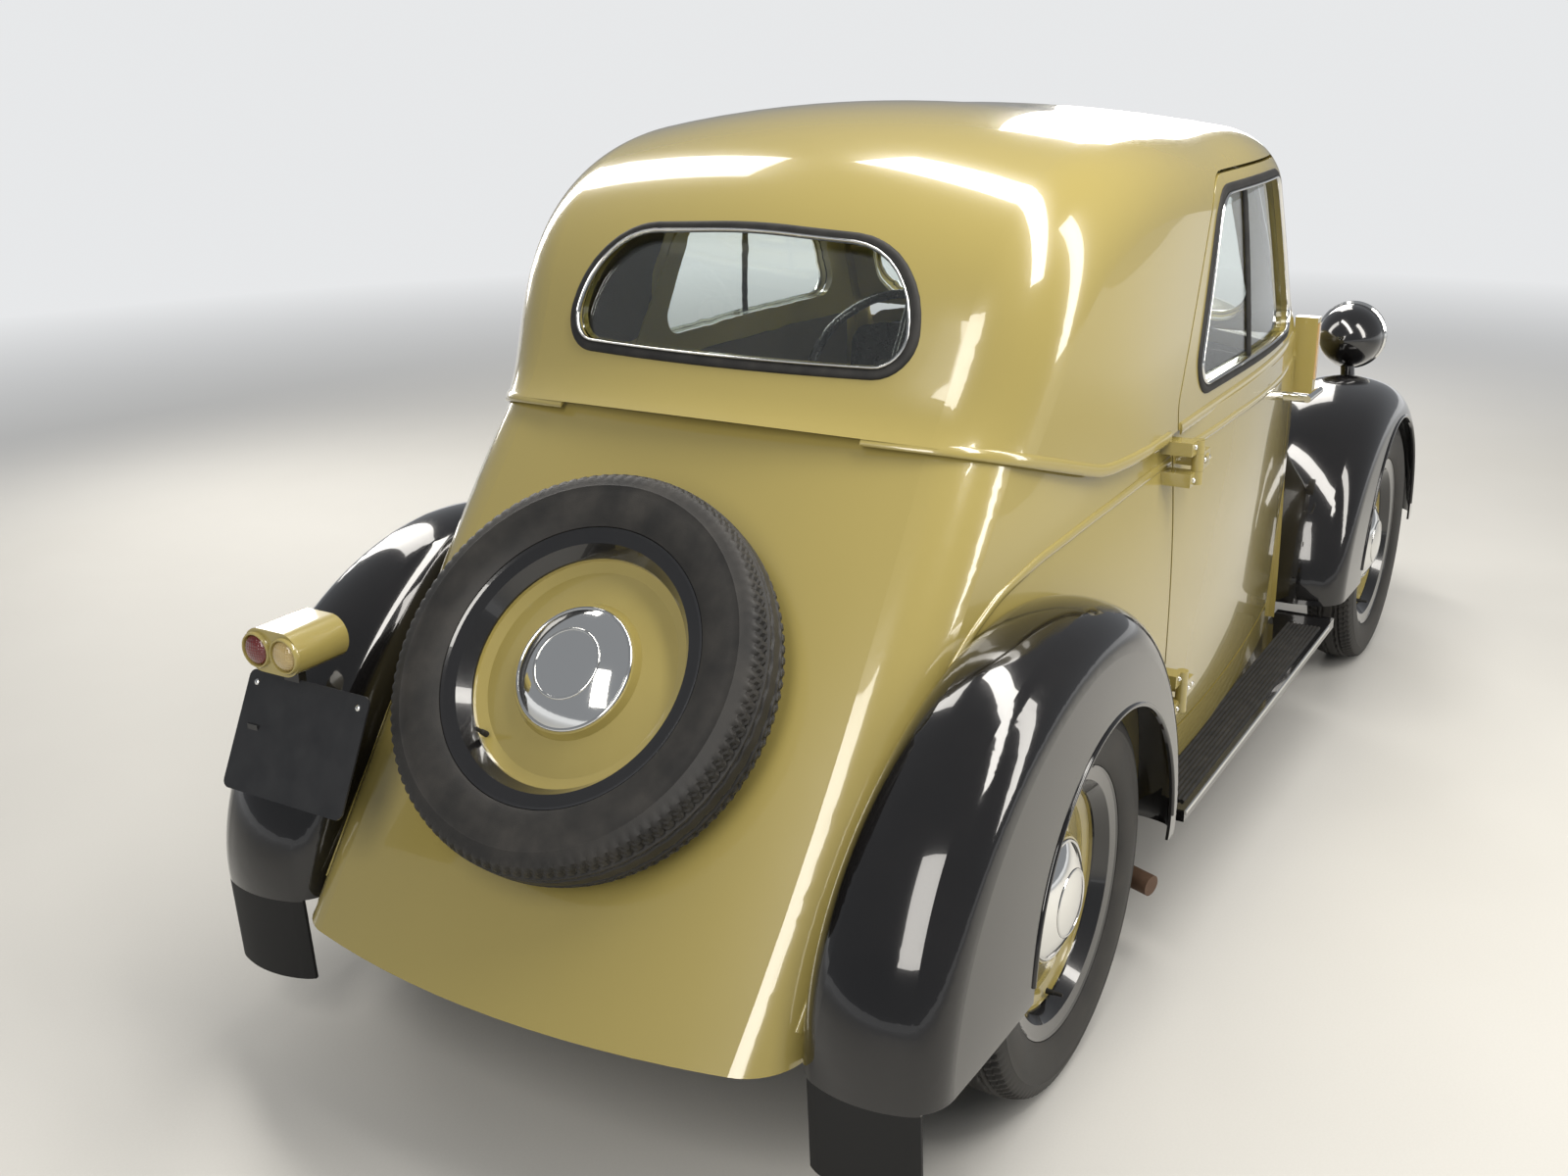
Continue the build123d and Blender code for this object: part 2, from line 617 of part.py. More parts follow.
# Wings with their rear mud flaps
FLAP = 4
FLAP_DROP = 140
wing_front = wing_band(FRONT_WING, FRONT_X)
LID_ROOM = [
    (BONNET_X - MOVING_GAP, BONNET_REAR_Z - MOVING_GAP, 0), (1700, BONNET_TIP_Z - MOVING_GAP, 0), (1700, 1000, 0),
    (BONNET_X - MOVING_GAP, 1000, 0),
]
wing_front -= nose(-2 * SEAT_GAP)
wing_front -= nose(-MOVING_GAP) & side_prism(LID_ROOM, 0, 700)
wing_front -= tub(-SEAT_GAP)
wing_front -= rod((FRONT_X, 560, AXLE_Z), (FRONT_X, 700, AXLE_Z), ARCH_RADIUS)
wing_front -= block(420, 1600, 300, 480, 0, 262)
REAR_ARCH_X = REAR_X + 42
REAR_ARCH_Z = 285
REAR_ARCH_RADIUS = 290
wing_rear = wing_band(REAR_WING, REAR_X)
wing_rear -= tub(-SEAT_GAP)
wing_rear -= rod((REAR_ARCH_X, 560, REAR_ARCH_Z), (REAR_ARCH_X, 700, REAR_ARCH_Z), REAR_ARCH_RADIUS)
wing_rear -= block(-1300, -500, 300, 500, 0, 264)
flap_row = REAR_WING[0]
flap_plane = sheet_plane(REAR_X, AXLE_Z, flap_row[0])
flap_line = band(flap_plane, FLAP, flap_row[2:], middle=flap_row[1], foot=WING_FOOT)
flap = Solid.extrude(Face(flap_line), flap_plane.z_dir * -FLAP_DROP)
wing_rear += flap & block(-1700, -1000, 438, 596, 0, 400)
parts["wing_front_left"] = wing_front
parts["wing_rear_left"] = wing_rear
parts["wing_front_right"] = mirrored(wing_front)
parts["wing_rear_right"] = mirrored(wing_rear)

# Running boards on outriggers from the frame
BOARD_Z0 = 240
BOARD_Z1 = 261.4
BOARD_OUT = 622
CHASSIS_TOP = FLOOR_Z - SEAT_GAP
RAIL_OUT = 310
board = block(-574, 484, 500, BOARD_OUT, BOARD_Z0, BOARD_Z1)
for x in (-420, 340):
    board += block(x, x + 40, RAIL_OUT + SEAT_GAP, 580, BOARD_Z0, CHASSIS_TOP - 2)
board -= wing_band(FRONT_WING, FRONT_X).moved(Location((-SEAT_GAP, 0, 0)))
parts["running_board_left"] = board.solids().sort_by(SortBy.VOLUME)[-1]
parts["running_board_right"] = mirrored(parts["running_board_left"])

# Headlamps between the wings and the bonnet
LAMP_X = 1205
LAMP_Y = 450
LAMP_Z = 752
LAMP_RADIUS = 80
lamp_plane = Plane(origin=(LAMP_X, LAMP_Y, LAMP_Z), x_dir=(1, 0, 0), z_dir=(0, -1, 0))
lamp_profile = [
    Line((-92, 0), (-92, APEX)),
    ThreePointArc((-92, APEX), (-60, 54), (0, LAMP_RADIUS - 3)),
    Line((0, LAMP_RADIUS - 3), (14, LAMP_RADIUS)),
    Line((14, LAMP_RADIUS), (26, LAMP_RADIUS)),
    Line((26, LAMP_RADIUS), (28, LAMP_RADIUS - 6)),
    ThreePointArc((28, LAMP_RADIUS - 6), (42, 40), (47, APEX)),
    Line((47, APEX), (47, 0)),
    Line((47, 0), (-92, 0)),
]
lamp = revolve(
    Face(Wire([lamp_plane.from_local_coords(edge) for edge in lamp_profile])),
    Axis((LAMP_X, LAMP_Y, LAMP_Z), (1, 0, 0)), 360,
)
stalk = rod((LAMP_X - 10, LAMP_Y + 12, 590), (LAMP_X - 10, LAMP_Y, LAMP_Z - 50), 17)
stalk -= wing_full(FRONT_WING, FRONT_X)
lamp += stalk
parts["headlamp_left"] = lamp
parts["headlamp_right"] = mirrored(lamp)

# Wheels: a pressed wheel with its drum and cap, and the tyre round it
RIM_OUTLINE = [
    (-3, 150), (-3, 166), (-17, 168), (-37, 181), (-40, 199), (-RIM_HALF_WIDTH, RIM_RADIUS), (-36, RIM_RADIUS),
    (-33, 184), (-14, 172), (14, 172), (33, 184), (36, RIM_RADIUS), (RIM_HALF_WIDTH, RIM_RADIUS), (40, 199),
    (37, 181), (17, 168), (9, 166), (4, 150), (14, 100), (HUBCAP_BASE, 94), (HUBCAP_BASE, HUBCAP_RADIUS),
]
CAP_MIDDLE = (HUBCAP_TOP - 7, 48)
road_wheel = profile_ring(
    [(HUBCAP_TOP, APEX), (HUBCAP_TOP, 0), (10, 0), (10, STUB_RADIUS + SEAT_GAP), (DRUM_BACK, STUB_RADIUS + SEAT_GAP), (DRUM_BACK, DRUM_RADIUS),
     (-9, DRUM_RADIUS)] + RIM_OUTLINE, CAP_MIDDLE,
)
spare_wheel = profile_ring([(HUBCAP_TOP, APEX), (HUBCAP_TOP, 0), (-SPARE_BACK, 0), (-SPARE_BACK, 100)] + RIM_OUTLINE, CAP_MIDDLE)
TYRE_SIDE = [
    (31.5, 190), (35, RIM_RADIUS + SEAT_GAP), (43, RIM_RADIUS + SEAT_GAP), (50, 224), (TYRE_HALF_WIDTH, 248),
    (52, 270), (44, 286), (22, TYRE_RADIUS),
]
tyre = profile_ring([(-y, r) for y, r in TYRE_SIDE] + TYRE_SIDE[::-1])
CORNERS = [
    ("front", "left", FRONT_X, TRACK_FRONT / 2), ("rear", "left", REAR_X, TRACK_REAR / 2),
]
for end, side, x, y in CORNERS:
    for kind, shape in (("wheel", road_wheel), ("tyre", tyre)):
        placed = shape.moved(Location((x, y, AXLE_Z)))
        parts[kind + "_" + end + "_left"] = placed
        parts[kind + "_" + end + "_right"] = mirrored(placed)
spare_plane = Plane(
    origin=spare_hub, x_dir=(0, 1, 0), z_dir=(sin(radians(SPARE_TILT)), 0, cos(radians(SPARE_TILT)))
)
parts["spare_wheel"] = spare_plane.from_local_coords(spare_wheel)
parts["spare_tyre"] = spare_plane.from_local_coords(tyre)

# Chassis frame: two rails that draw in at the front, and cross members
level = Plane(origin=(0, 0, CHASSIS_BOTTOM), x_dir=(1, 0, 0), z_dir=(0, 0, 1))
rail = prism(level, [
    (-1380, 268, 0), (620, 268, 0), (1430, 172, 0), (1430, 214, 0), (630, RAIL_OUT, 0), (-1380, RAIL_OUT, 0),
], CHASSIS_TOP - CHASSIS_BOTTOM)
chassis = rail + mirrored(rail)
for x0, x1, half in ((-1380, -1330, 270), (-660, -610, 270), (520, 570, 270), (1060, 1100, 220), (1390, 1430, 176)):
    chassis += block(x0, x1, -half, half, CHASSIS_BOTTOM + 4, 255)
parts["chassis_frame"] = chassis

# Engine and gearbox as plain blocks on the frame
engine = block(1080, 1402, -150, 150, 255 + SEAT_GAP, 600) + block(660, 1082, -85, 85, 300, 385)
parts["engine"] = engine

# Front axle with its leaf spring, and the steered knuckles
LEAF_Z = 415
ARM_Z = 222
arm_end = KINGPIN_Y - KINGPIN_RADIUS - SEAT_GAP
front_axle = block(975, 1025, -arm_end, arm_end, LEAF_Z - 14, LEAF_Z + 14)
front_axle += block(970, 1030, -262, 262, CHASSIS_TOP + SEAT_GAP, CHASSIS_TOP + 20)
front_axle += block(985, 1015, 95, 125, CHASSIS_TOP + 10, LEAF_Z)
front_axle += block(985, 1015, -125, -95, CHASSIS_TOP + 10, LEAF_Z)
for side in (1, -1):
    arm = block(984, 1016, 252, arm_end, CHASSIS_TOP + SEAT_GAP, CHASSIS_TOP + 20)
    front_axle += arm if side == 1 else mirrored(arm)
knuckle = rod((FRONT_X, KINGPIN_Y, 236), (FRONT_X, KINGPIN_Y, 434), KINGPIN_RADIUS)
knuckle += rod((FRONT_X, KINGPIN_Y, AXLE_Z), (FRONT_X, TRACK_FRONT / 2 - 4, AXLE_Z), STUB_RADIUS)
back_y = TRACK_FRONT / 2 + DRUM_BACK - MOVING_GAP
knuckle += rod((FRONT_X, back_y - 8, AXLE_Z), (FRONT_X, back_y, AXLE_Z), DRUM_RADIUS - 12)
parts["front_axle"] = front_axle
parts["knuckle_left"] = knuckle
parts["knuckle_right"] = mirrored(knuckle)

# Rear axle, its torque tube and springs
rear_axle = rod((REAR_X, -470, AXLE_Z), (REAR_X, 470, AXLE_Z), 27) + Pos(REAR_X, 0, AXLE_Z) * Sphere(88)
rear_axle += rod((REAR_X, 0, AXLE_Z), (500, 0, 318), 25)
rear_back = TRACK_REAR / 2 + DRUM_BACK - MOVING_GAP
for side in (1, -1):
    part = rod((REAR_X, 460, AXLE_Z), (REAR_X, TRACK_REAR / 2 - 4, AXLE_Z), STUB_RADIUS)
    part += rod((REAR_X, rear_back - 9, AXLE_Z), (REAR_X, rear_back, AXLE_Z), DRUM_RADIUS - 12)
    part += side_prism([
        (REAR_X - 60, 306, 0), (REAR_X + 55, 304, 0), (-800, 226, 0), (-560, 214, 0), (-560, 244, 0),
        (-800, 254, 0), (REAR_X + 60, 322, 0), (REAR_X - 60, 322, 0),
    ], RAIL_OUT + SEAT_GAP, RAIL_OUT + 44)
    rear_axle += part if side == 1 else mirrored(part)
parts["rear_axle"] = rear_axle

# Exhaust with its silencer, out ahead of the right rear wheel
exhaust = pipe([
    (1120, -168.5, 420), (1120, -168.5, 165), (380, -168.5, 165), (320, -150, 200), (-40, -150, 200),
    (-100, -150, 165), (-560, -220, 165), (-600, -420, 165), (-652, -598, 152),
], 18)
exhaust += rod((300, -150, 205), (-30, -150, 205), 46)
parts["exhaust"] = exhaust

# Floor, tunnel, bulkhead and the wheel housings inside the tub
inside = tub(BODY_WALL + SEAT_GAP)
inside_nose = nose(BODY_WALL + SEAT_GAP)
BULKHEAD_X = 586
TUNNEL_TOP = 372
floor = block(-782, TUB_FRONT_X + 1, -600, 600, FLOOR_Z, FLOOR_Z + FLOOR_SHEET)
floor += block(-790, -778, -600, 600, FLOOR_Z, SHELF_Z + FLOOR_SHEET)
floor += block(-1425, -780, -600, 600, SHELF_Z, SHELF_Z + FLOOR_SHEET)
housing = rod((REAR_X, WELL_Y - 8, AXLE_Z), (REAR_X, 600, AXLE_Z), WELL_RADIUS)
housing -= block(-1500, -500, 300, 700, -100, FLOOR_Z)
floor += housing
floor += mirrored(housing)
floor = floor & inside
front_floor = block(TUB_FRONT_X, BULKHEAD_X + 10, -600, 600, 270, 282)
front_floor += block(BULKHEAD_X, BULKHEAD_X + 10, -600, 600, 270, 1000)
floor += front_floor & inside_nose
floor += block(-782, BULKHEAD_X + 10, -78, 78, FLOOR_Z, TUNNEL_TOP)
floor -= block(-800, BULKHEAD_X + 20, -70, 70, 200, TUNNEL_TOP - 8)
for side in (1, -1):
    floor -= rod((REAR_X, side * WELL_Y, AXLE_Z), (REAR_X, side * 700, AXLE_Z), WELL_RADIUS - 8)
    floor -= rod((REAR_X, side * 380, AXLE_Z), (REAR_X, side * 440, AXLE_Z), 110)
    floor -= block(-1110, -890, min(side * 380, side * 440), max(side * 380, side * 440), 200, AXLE_Z)

# Steering column, its wheel, and the box on the left rail
STEER_X = 20
STEER_Y = 238
STEER_Z = 800
STEER_DROP = 32
STEER_SHAFT_RADIUS = 8
steer = Vector(cos(radians(STEER_DROP)), 0, -sin(radians(STEER_DROP)))
hub = Vector(STEER_X, STEER_Y, STEER_Z)


def along(distance):
    """A point on the steering axis, forward of the wheel's centre."""
    point = hub + steer * distance
    return (point.X, point.Y, point.Z)


column = rod(along(36), along(900), 18)
column -= rod(along(30), along(100), STEER_SHAFT_RADIUS + SEAT_GAP)
box_x, box_y, box_z = along(880)
column += block(box_x - 55, box_x + 45, box_y - 42, box_y + 42, CHASSIS_TOP + SEAT_GAP, box_z + 45)
floor -= rod(along(560), along(760), 18 + SEAT_GAP)
parts["steering_column"] = column
parts["floor_pan"] = floor
WHEEL_RIM = 192
steer_plane = Plane(origin=hub, x_dir=(0, 1, 0), z_dir=steer)
steering_wheel = steer_plane.from_local_coords(Torus(WHEEL_RIM, 10))
steering_wheel += rod(along(-22), along(28), 30)
steering_wheel += rod(along(20), along(90), STEER_SHAFT_RADIUS)
for turn in (90, 210, 330):
    end = hub + steer_plane.x_dir * cos(radians(turn)) * WHEEL_RIM + steer_plane.y_dir * sin(radians(turn)) * WHEEL_RIM
    steering_wheel += rod(along(0), (end.X, end.Y, end.Z), 6)
parts["steering_wheel"] = steering_wheel

# Dashboard with a parcel shelf behind it
dash = block(300, 314, -600, 600, 735, 862) + block(312, 570, -600, 600, 735, 745)
dash = dash & inside_nose
parts["dashboard"] = dash

# Seats: cushion and back in one, on a low box frame
SEAT_Y = 225
seat_left = side_prism([
    (-450, 395, 30), (20, 405, 45), (25, 500, 45), (-400, 480, 60), (-552, 945, 40), (-640, 915, 40),
], SEAT_Y - 195, SEAT_Y + 195)
seat_left += side_prism([(-400, 274.3, 0), (-30, 274.3, 0), (-30, 420, 0), (-400, 420, 0)], SEAT_Y - 140, SEAT_Y + 140)
parts["seat_left"] = seat_left
parts["seat_right"] = mirrored(seat_left)

# Pedals and gear lever
PEDAL_Z = 412
pedals = rod((556, 120, PEDAL_Z), (556, 330, PEDAL_Z), 9)
for y in (120, 330):
    pedals += block(548, BULKHEAD_X - SEAT_GAP, y - 8, y + 8, PEDAL_Z - 12, PEDAL_Z + 12)
for y in (145, 195, 300):
    pedals += side_prism([(562, PEDAL_Z, 0), (550, PEDAL_Z, 0), (524, 340, 0), (536, 340, 0)], y - 6, y + 6)
    pedals += block(520, 532, y - 18, y + 18, 318, 364)
parts["pedals"] = pedals
lever = rod((380, 0, TUNNEL_TOP + SEAT_GAP), (380, 0, TUNNEL_TOP + 16), 34)
lever += rod((380, 0, TUNNEL_TOP + 8), (290, 0, 610), 8)
lever += Pos(290, 0, 610) * Sphere(18)
parts["gear_lever"] = lever

# Tail lamp and number plate on a stay from the left rear wing
PLATE_X = -1535
PLATE_Y = 386
PLATE_Z = 545
PLATE_LEAN = 27
plate_plane = Plane(
    origin=(PLATE_X, PLATE_Y, PLATE_Z), x_dir=(0, 1, 0),
    z_dir=(-cos(radians(PLATE_LEAN)), 0, sin(radians(PLATE_LEAN))),
)
plate = prism(plate_plane, [(-118, -88, 12), (118, -88, 12), (118, 88, 12), (-118, 88, 12)], 3)
stay = block(-1537, -1330, 462, 482, 540, 556) - wing_full(REAR_WING, REAR_X)
stay = stay.solids().sort_by(Axis.X)[0]
stay -= tub(-SEAT_GAP)
stay = stay.solids().sort_by(Axis.X)[0]
plate += stay
POD_Z = 675
POD_HALF = 33
plate += block(-1500, -1486, 405, 435, 590, POD_Z - POD_HALF - SEAT_GAP)
pod = prism(
    Plane(origin=(-1530, 420, POD_Z), x_dir=(0, 1, 0), z_dir=(1, 0, 0)),
    [(-54, -POD_HALF, 32), (54, -POD_HALF, 32), (54, POD_HALF, 32), (-54, POD_HALF, 32)], 96,
)
parts["number_plate"] = plate
parts["tail_lamp"] = pod


os.makedirs("parts", exist_ok=True)
for name, part in parts.items():
    export_step(part.moved(Location((ORIGIN_SHIFT, 0, 0))), "parts/" + name + ".step")
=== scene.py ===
import bmesh
import bpy
import math
import numpy as np
from mathutils import Matrix, Vector
from mathutils.bvhtree import BVHTree


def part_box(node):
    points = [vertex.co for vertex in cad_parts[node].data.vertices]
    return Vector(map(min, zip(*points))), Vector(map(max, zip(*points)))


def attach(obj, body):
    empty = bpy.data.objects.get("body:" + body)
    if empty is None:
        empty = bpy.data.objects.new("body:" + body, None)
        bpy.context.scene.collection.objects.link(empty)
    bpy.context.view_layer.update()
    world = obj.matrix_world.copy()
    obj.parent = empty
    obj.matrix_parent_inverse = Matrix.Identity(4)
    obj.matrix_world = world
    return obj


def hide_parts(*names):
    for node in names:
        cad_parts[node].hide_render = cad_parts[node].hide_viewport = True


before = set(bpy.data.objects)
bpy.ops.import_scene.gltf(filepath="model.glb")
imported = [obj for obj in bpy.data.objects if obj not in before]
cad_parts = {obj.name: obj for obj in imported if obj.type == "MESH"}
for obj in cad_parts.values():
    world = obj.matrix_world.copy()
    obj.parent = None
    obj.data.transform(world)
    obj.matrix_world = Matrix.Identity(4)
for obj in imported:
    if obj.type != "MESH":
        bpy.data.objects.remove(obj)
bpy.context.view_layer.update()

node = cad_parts

# The room: a pale floor that fades into a pale backdrop, with long soft lamps
# overhead and at the sides, and the camera standing behind the car's
# right-hand side at about eye height.
FLOOR_COLOUR = (0.60, 0.59, 0.56, 1)
BACKDROP = (0.80, 0.81, 0.82, 1)
EYE = (-2.9886, -1.3005, 1.4996)
LOOK = (0.8111, 0.4854, -0.3264)
RIGHT = (0.5096, -0.8604, -0.0130)
LENS = 37.26
# Each x in the tables below is this much more in the frame, in metres
SHIFT = 0.005
SIDES = ((1, "left"), (-1, "right"))


class Value:
    """A number that varies over a surface, with arithmetic written as Python."""

    def __init__(self, finish, socket):
        self.finish, self.socket = finish, socket

    def maths(self, operation, *terms, clamp=False):
        made = self.finish.add("Math", {"operation": operation, "use_clamp": clamp}, dict(enumerate(terms)))
        return Value(self.finish, made.outputs[0])

    def __add__(self, other):
        return self.maths("ADD", self, other)

    def __sub__(self, other):
        return self.maths("SUBTRACT", self, other)

    def __rsub__(self, other):
        return self.maths("SUBTRACT", other, self)

    def __mul__(self, other):
        return self.maths("MULTIPLY", self, other)

    def __pow__(self, other):
        return self.maths("POWER", self, other)

    def __gt__(self, other):
        return self.maths("GREATER_THAN", self, other)

    def __lt__(self, other):
        return self.maths("LESS_THAN", self, other)

    def sine(self):
        return self.maths("SINE", self)

    def clipped(self):
        return self.maths("ADD", self, 0.0, clamp=True)

    __radd__ = __add__
    __rmul__ = __mul__


class Finish:
    """One of the car's surface finishes: a Principled shader and the nodes that vary it."""

    def __init__(self, name, **constants):
        self.material = bpy.data.materials.new(name)
        self.material.use_nodes = True
        self.tree = self.material.node_tree
        self.shader = self.tree.nodes["Principled BSDF"]
        for socket, value in constants.items():
            self.shader.inputs[socket.replace("_", " ")].default_value = value
        self.place = self.add("TexCoord").outputs["Object"]

    def add(self, kind, settings=None, sockets=None):
        made = self.tree.nodes.new("ShaderNode" + kind)
        for key, value in (settings or {}).items():
            setattr(made, key, value)
        for key, value in (sockets or {}).items():
            if isinstance(value, Value):
                self.tree.links.new(value.socket, made.inputs[key])
            elif isinstance(value, bpy.types.NodeSocket):
                self.tree.links.new(value, made.inputs[key])
            else:
                made.inputs[key].default_value = value
        return made

    def noise(self, scale, detail=3.0, roughness=0.55):
        made = self.add("TexNoise", None, {
            "Vector": self.place, "Scale": scale, "Detail": detail, "Roughness": roughness,
        })
        return Value(self, made.outputs[0])

    def axis(self, letter):
        made = self.add("SeparateXYZ", None, {0: self.place})
        return Value(self, made.outputs["XYZ".index(letter)])

    def blend(self, factor, first, second):
        made = self.add("Mix", {"data_type": "RGBA"}, {0: factor, 6: first, 7: second})
        return made.outputs[2]

    def vary(self, socket, value):
        source = value.socket if isinstance(value, Value) else value
        self.tree.links.new(source, self.shader.inputs[socket])
        return self

    def bump(self, height, distance, strength=1.0):
        made = self.add("Bump", None, {"Height": height, "Distance": distance, "Strength": strength})
        self.tree.links.new(made.outputs[0], self.shader.inputs["Normal"])
        return self

    def dress(self, *names):
        """Puts the finish on plain nodes."""
        for name in names:
            for face_set in node[name].material_slots:
                face_set.material = self.material
        return self


bpy.ops.mesh.primitive_grid_add(x_subdivisions=2, y_subdivisions=2, size=60)
floor = bpy.context.object
floor.name = "studio_floor"
floor_finish = Finish("pale_floor", Roughness=0.75, Specular_IOR_Level=0.3)
speckle = floor_finish.noise(260, 2) * 0.5 + floor_finish.noise(3, 2) * 0.3
floor_finish.vary("Base Color", floor_finish.blend(speckle.clipped(), FLOOR_COLOUR, (0.52, 0.51, 0.48, 1)))
across, along = floor_finish.axis("X"), floor_finish.axis("Y")
reach = (across * across + along * along) ** 0.5
fade = ((reach - 3.2) * 0.22).clipped()
glow = floor_finish.add("Emission", None, {"Color": BACKDROP, "Strength": 1.0})
fading = floor_finish.add("MixShader", None, {
    0: fade, 1: floor_finish.shader.outputs[0], 2: glow.outputs[0]})
floor_finish.tree.links.new(fading.outputs[0], floor_finish.tree.nodes["Material Output"].inputs[0])
floor.data.materials.append(floor_finish.material)

world = bpy.data.worlds.new("studio")
world.use_nodes = True
bpy.context.scene.world = world
shine = world.node_tree.nodes["Background"]
nodes, links = world.node_tree.nodes, world.node_tree.links
rays = nodes.new("ShaderNodeLightPath")
seen = nodes.new("ShaderNodeMath")
seen.operation = "MAXIMUM"
links.new(rays.outputs["Is Camera Ray"], seen.inputs[0])
links.new(rays.outputs["Is Transmission Ray"], seen.inputs[1])
tone = nodes.new("ShaderNodeMix")
tone.data_type = "RGBA"
tone.inputs[6].default_value = (0.26, 0.27, 0.285, 1)
tone.inputs[7].default_value = BACKDROP
links.new(seen.outputs[0], tone.inputs[0])
links.new(tone.outputs[2], shine.inputs["Color"])
shine.inputs["Strength"].default_value = 1.0

# Columns: name, place, point lit, width, length, power
LAMPS = [
    ("lamp_over_roof", (-0.4, -0.6, 3.4), (0, 0, 0.6), 0.5, 4.2, 105),
    ("lamp_far_side", (0.6, 2.9, 2.6), (0, 0, 0.7), 0.8, 3.6, 68),
    ("lamp_near_side", (0.2, -3.4, 2.7), (0, 0, 0.6), 0.7, 3.8, 92),
    ("lamp_behind", (-4.2, -0.8, 2.6), (-1.0, 0, 0.7), 1.0, 2.4, 70),
    ("lamp_before", (3.9, 0.8, 2.4), (1.0, 0, 0.6), 1.2, 2.6, 58),
]
for name, place, target, width, length, power in LAMPS:
    lamp = bpy.data.lights.new(name, "AREA")
    lamp.shape = "RECTANGLE"
    lamp.size, lamp.size_y = width, length
    lamp.energy = power
    lamp.color = (1.0, 0.965, 0.91)
    holder = bpy.data.objects.new(name, lamp)
    holder.location = place
    holder.rotation_euler = (Vector(target) - Vector(place)).to_track_quat("-Z", "Y").to_euler()
    bpy.context.scene.collection.objects.link(holder)

camera = bpy.data.objects.new("camera", bpy.data.cameras.new("camera"))
camera.data.lens = LENS
camera.data.sensor_width = 36
ahead, right = Vector(LOOK).normalized(), Vector(RIGHT).normalized()
above = right.cross(ahead)
camera.matrix_world = Matrix.Translation(EYE) @ Matrix((right, above, -ahead)).transposed().to_4x4()
bpy.context.scene.collection.objects.link(camera)
bpy.context.scene.camera = camera
bpy.context.scene.view_settings.view_transform = "Standard"

# The body: pressed steel panels welded to one shell, with doors, bonnet, cowl,
# apron and lamp pods in the same paint, a pale olive beige cellulose gloss
# that has gone a little uneven with age.
PAINT = (0.350, 0.284, 0.088, 1)
PAINT_DEEP = (0.305, 0.243, 0.068, 1)
body_paint = Finish("olive_beige_paint", Roughness=0.20, Coat_Weight=1.0, Coat_Roughness=0.03)
tired = body_paint.noise(1.7, 4)
flecks = body_paint.noise(900, 2)
body_paint.vary("Base Color", body_paint.blend((tired * 0.5 + flecks * 0.12).clipped(), PAINT, PAINT_DEEP))
body_paint.vary("Roughness", tired * 0.10 + 0.17)
body_paint.bump(body_paint.noise(420, 2) * 0.5 + body_paint.noise(9, 2), 0.00035, 0.25)
body_paint.dress(
    "roof_shell", "tub_shell", "cowl", "bonnet", "front_apron", "door_left", "door_right",
    "trafficator_left", "trafficator_right", "windscreen_frame", "tail_lamp",
)


def make_piece(name, shapes, finish, body, smooth=40):
    """One piece from shapes of (points, faces); doubles merge, faces turn out, and it rides on a body."""
    points = np.concatenate([np.asarray(p, float) for p, _ in shapes])
    starts = np.cumsum([0] + [len(p) for p, _ in shapes])
    faces = [[int(k) + int(start) for k in f] for (_, fs), start in zip(shapes, starts) for f in fs]
    mesh = bpy.data.meshes.new(name)
    mesh.from_pydata(points.tolist(), [], faces)
    work = bmesh.new()
    work.from_mesh(mesh)
    bmesh.ops.remove_doubles(work, verts=work.verts, dist=1e-6)
    bmesh.ops.recalc_face_normals(work, faces=work.faces)
    work.to_mesh(mesh)
    work.free()
    piece = bpy.data.objects.new(name, mesh)
    bpy.context.scene.collection.objects.link(piece)
    mesh.materials.append(finish.material)
    mesh.polygons.foreach_set("use_smooth", np.ones(len(mesh.polygons), bool))
    mesh.set_sharp_from_angle(angle=math.radians(smooth))
    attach(piece, body)
    return piece


def grid_faces(rows, columns, round_rows=False, round_columns=False):
    """Quads of a grid of points, closed round in either direction."""
    index = np.arange(rows * columns).reshape(rows, columns)
    if round_rows:
        index = np.concatenate([index, index[:1]])
    if round_columns:
        index = np.concatenate([index, index[:, :1]], 1)
    return np.stack([index[:-1, :-1], index[1:, :-1], index[1:, 1:], index[:-1, 1:]], -1).reshape(-1, 4)


def unit(vectors):
    """Each row as long as 1."""
    return vectors / np.maximum(np.linalg.norm(vectors, axis=-1, keepdims=True), 1e-12)


def carried(path, out, section, loop=False):
    """A closed section carried along a path: point = path + a * across + b * out, with across = out x tangent."""
    path, out, section = (np.asarray(v, float) for v in (path, out, section))
    if loop:
        tangent = np.roll(path, -1, 0) - np.roll(path, 1, 0)
    else:
        tangent = np.gradient(path, axis=0)
    out = unit(np.broadcast_to(out, path.shape))
    side = unit(np.cross(out, unit(tangent)))
    points = path[:, None] + section[None, :, :1] * side[:, None] + section[None, :, 1:] * out[:, None]
    rows, columns = points.shape[:2]
    faces = [list(f) for f in grid_faces(rows, columns, loop, True)]
    if not loop:
        k = list(range(columns))
        faces += [k[::-1], [(rows - 1) * columns + j for j in k]]
    return points.reshape(-1, 3), faces


def round_section(half_width, rise, sunk=0.0008, steps=9):
    """A half ellipse of the given half width and rise that stands on a panel and goes a little into it."""
    a = np.linspace(0, math.pi, steps)
    top = np.stack([half_width * np.cos(a), rise * np.sin(a)], 1)
    return np.concatenate([top, [(-half_width, -sunk), (half_width, -sunk)]])


def rod_section(radius, steps=14):
    """A circle."""
    a = np.linspace(0, 2 * math.pi, steps, endpoint=False)
    return radius * np.stack([np.cos(a), np.sin(a)], 1)


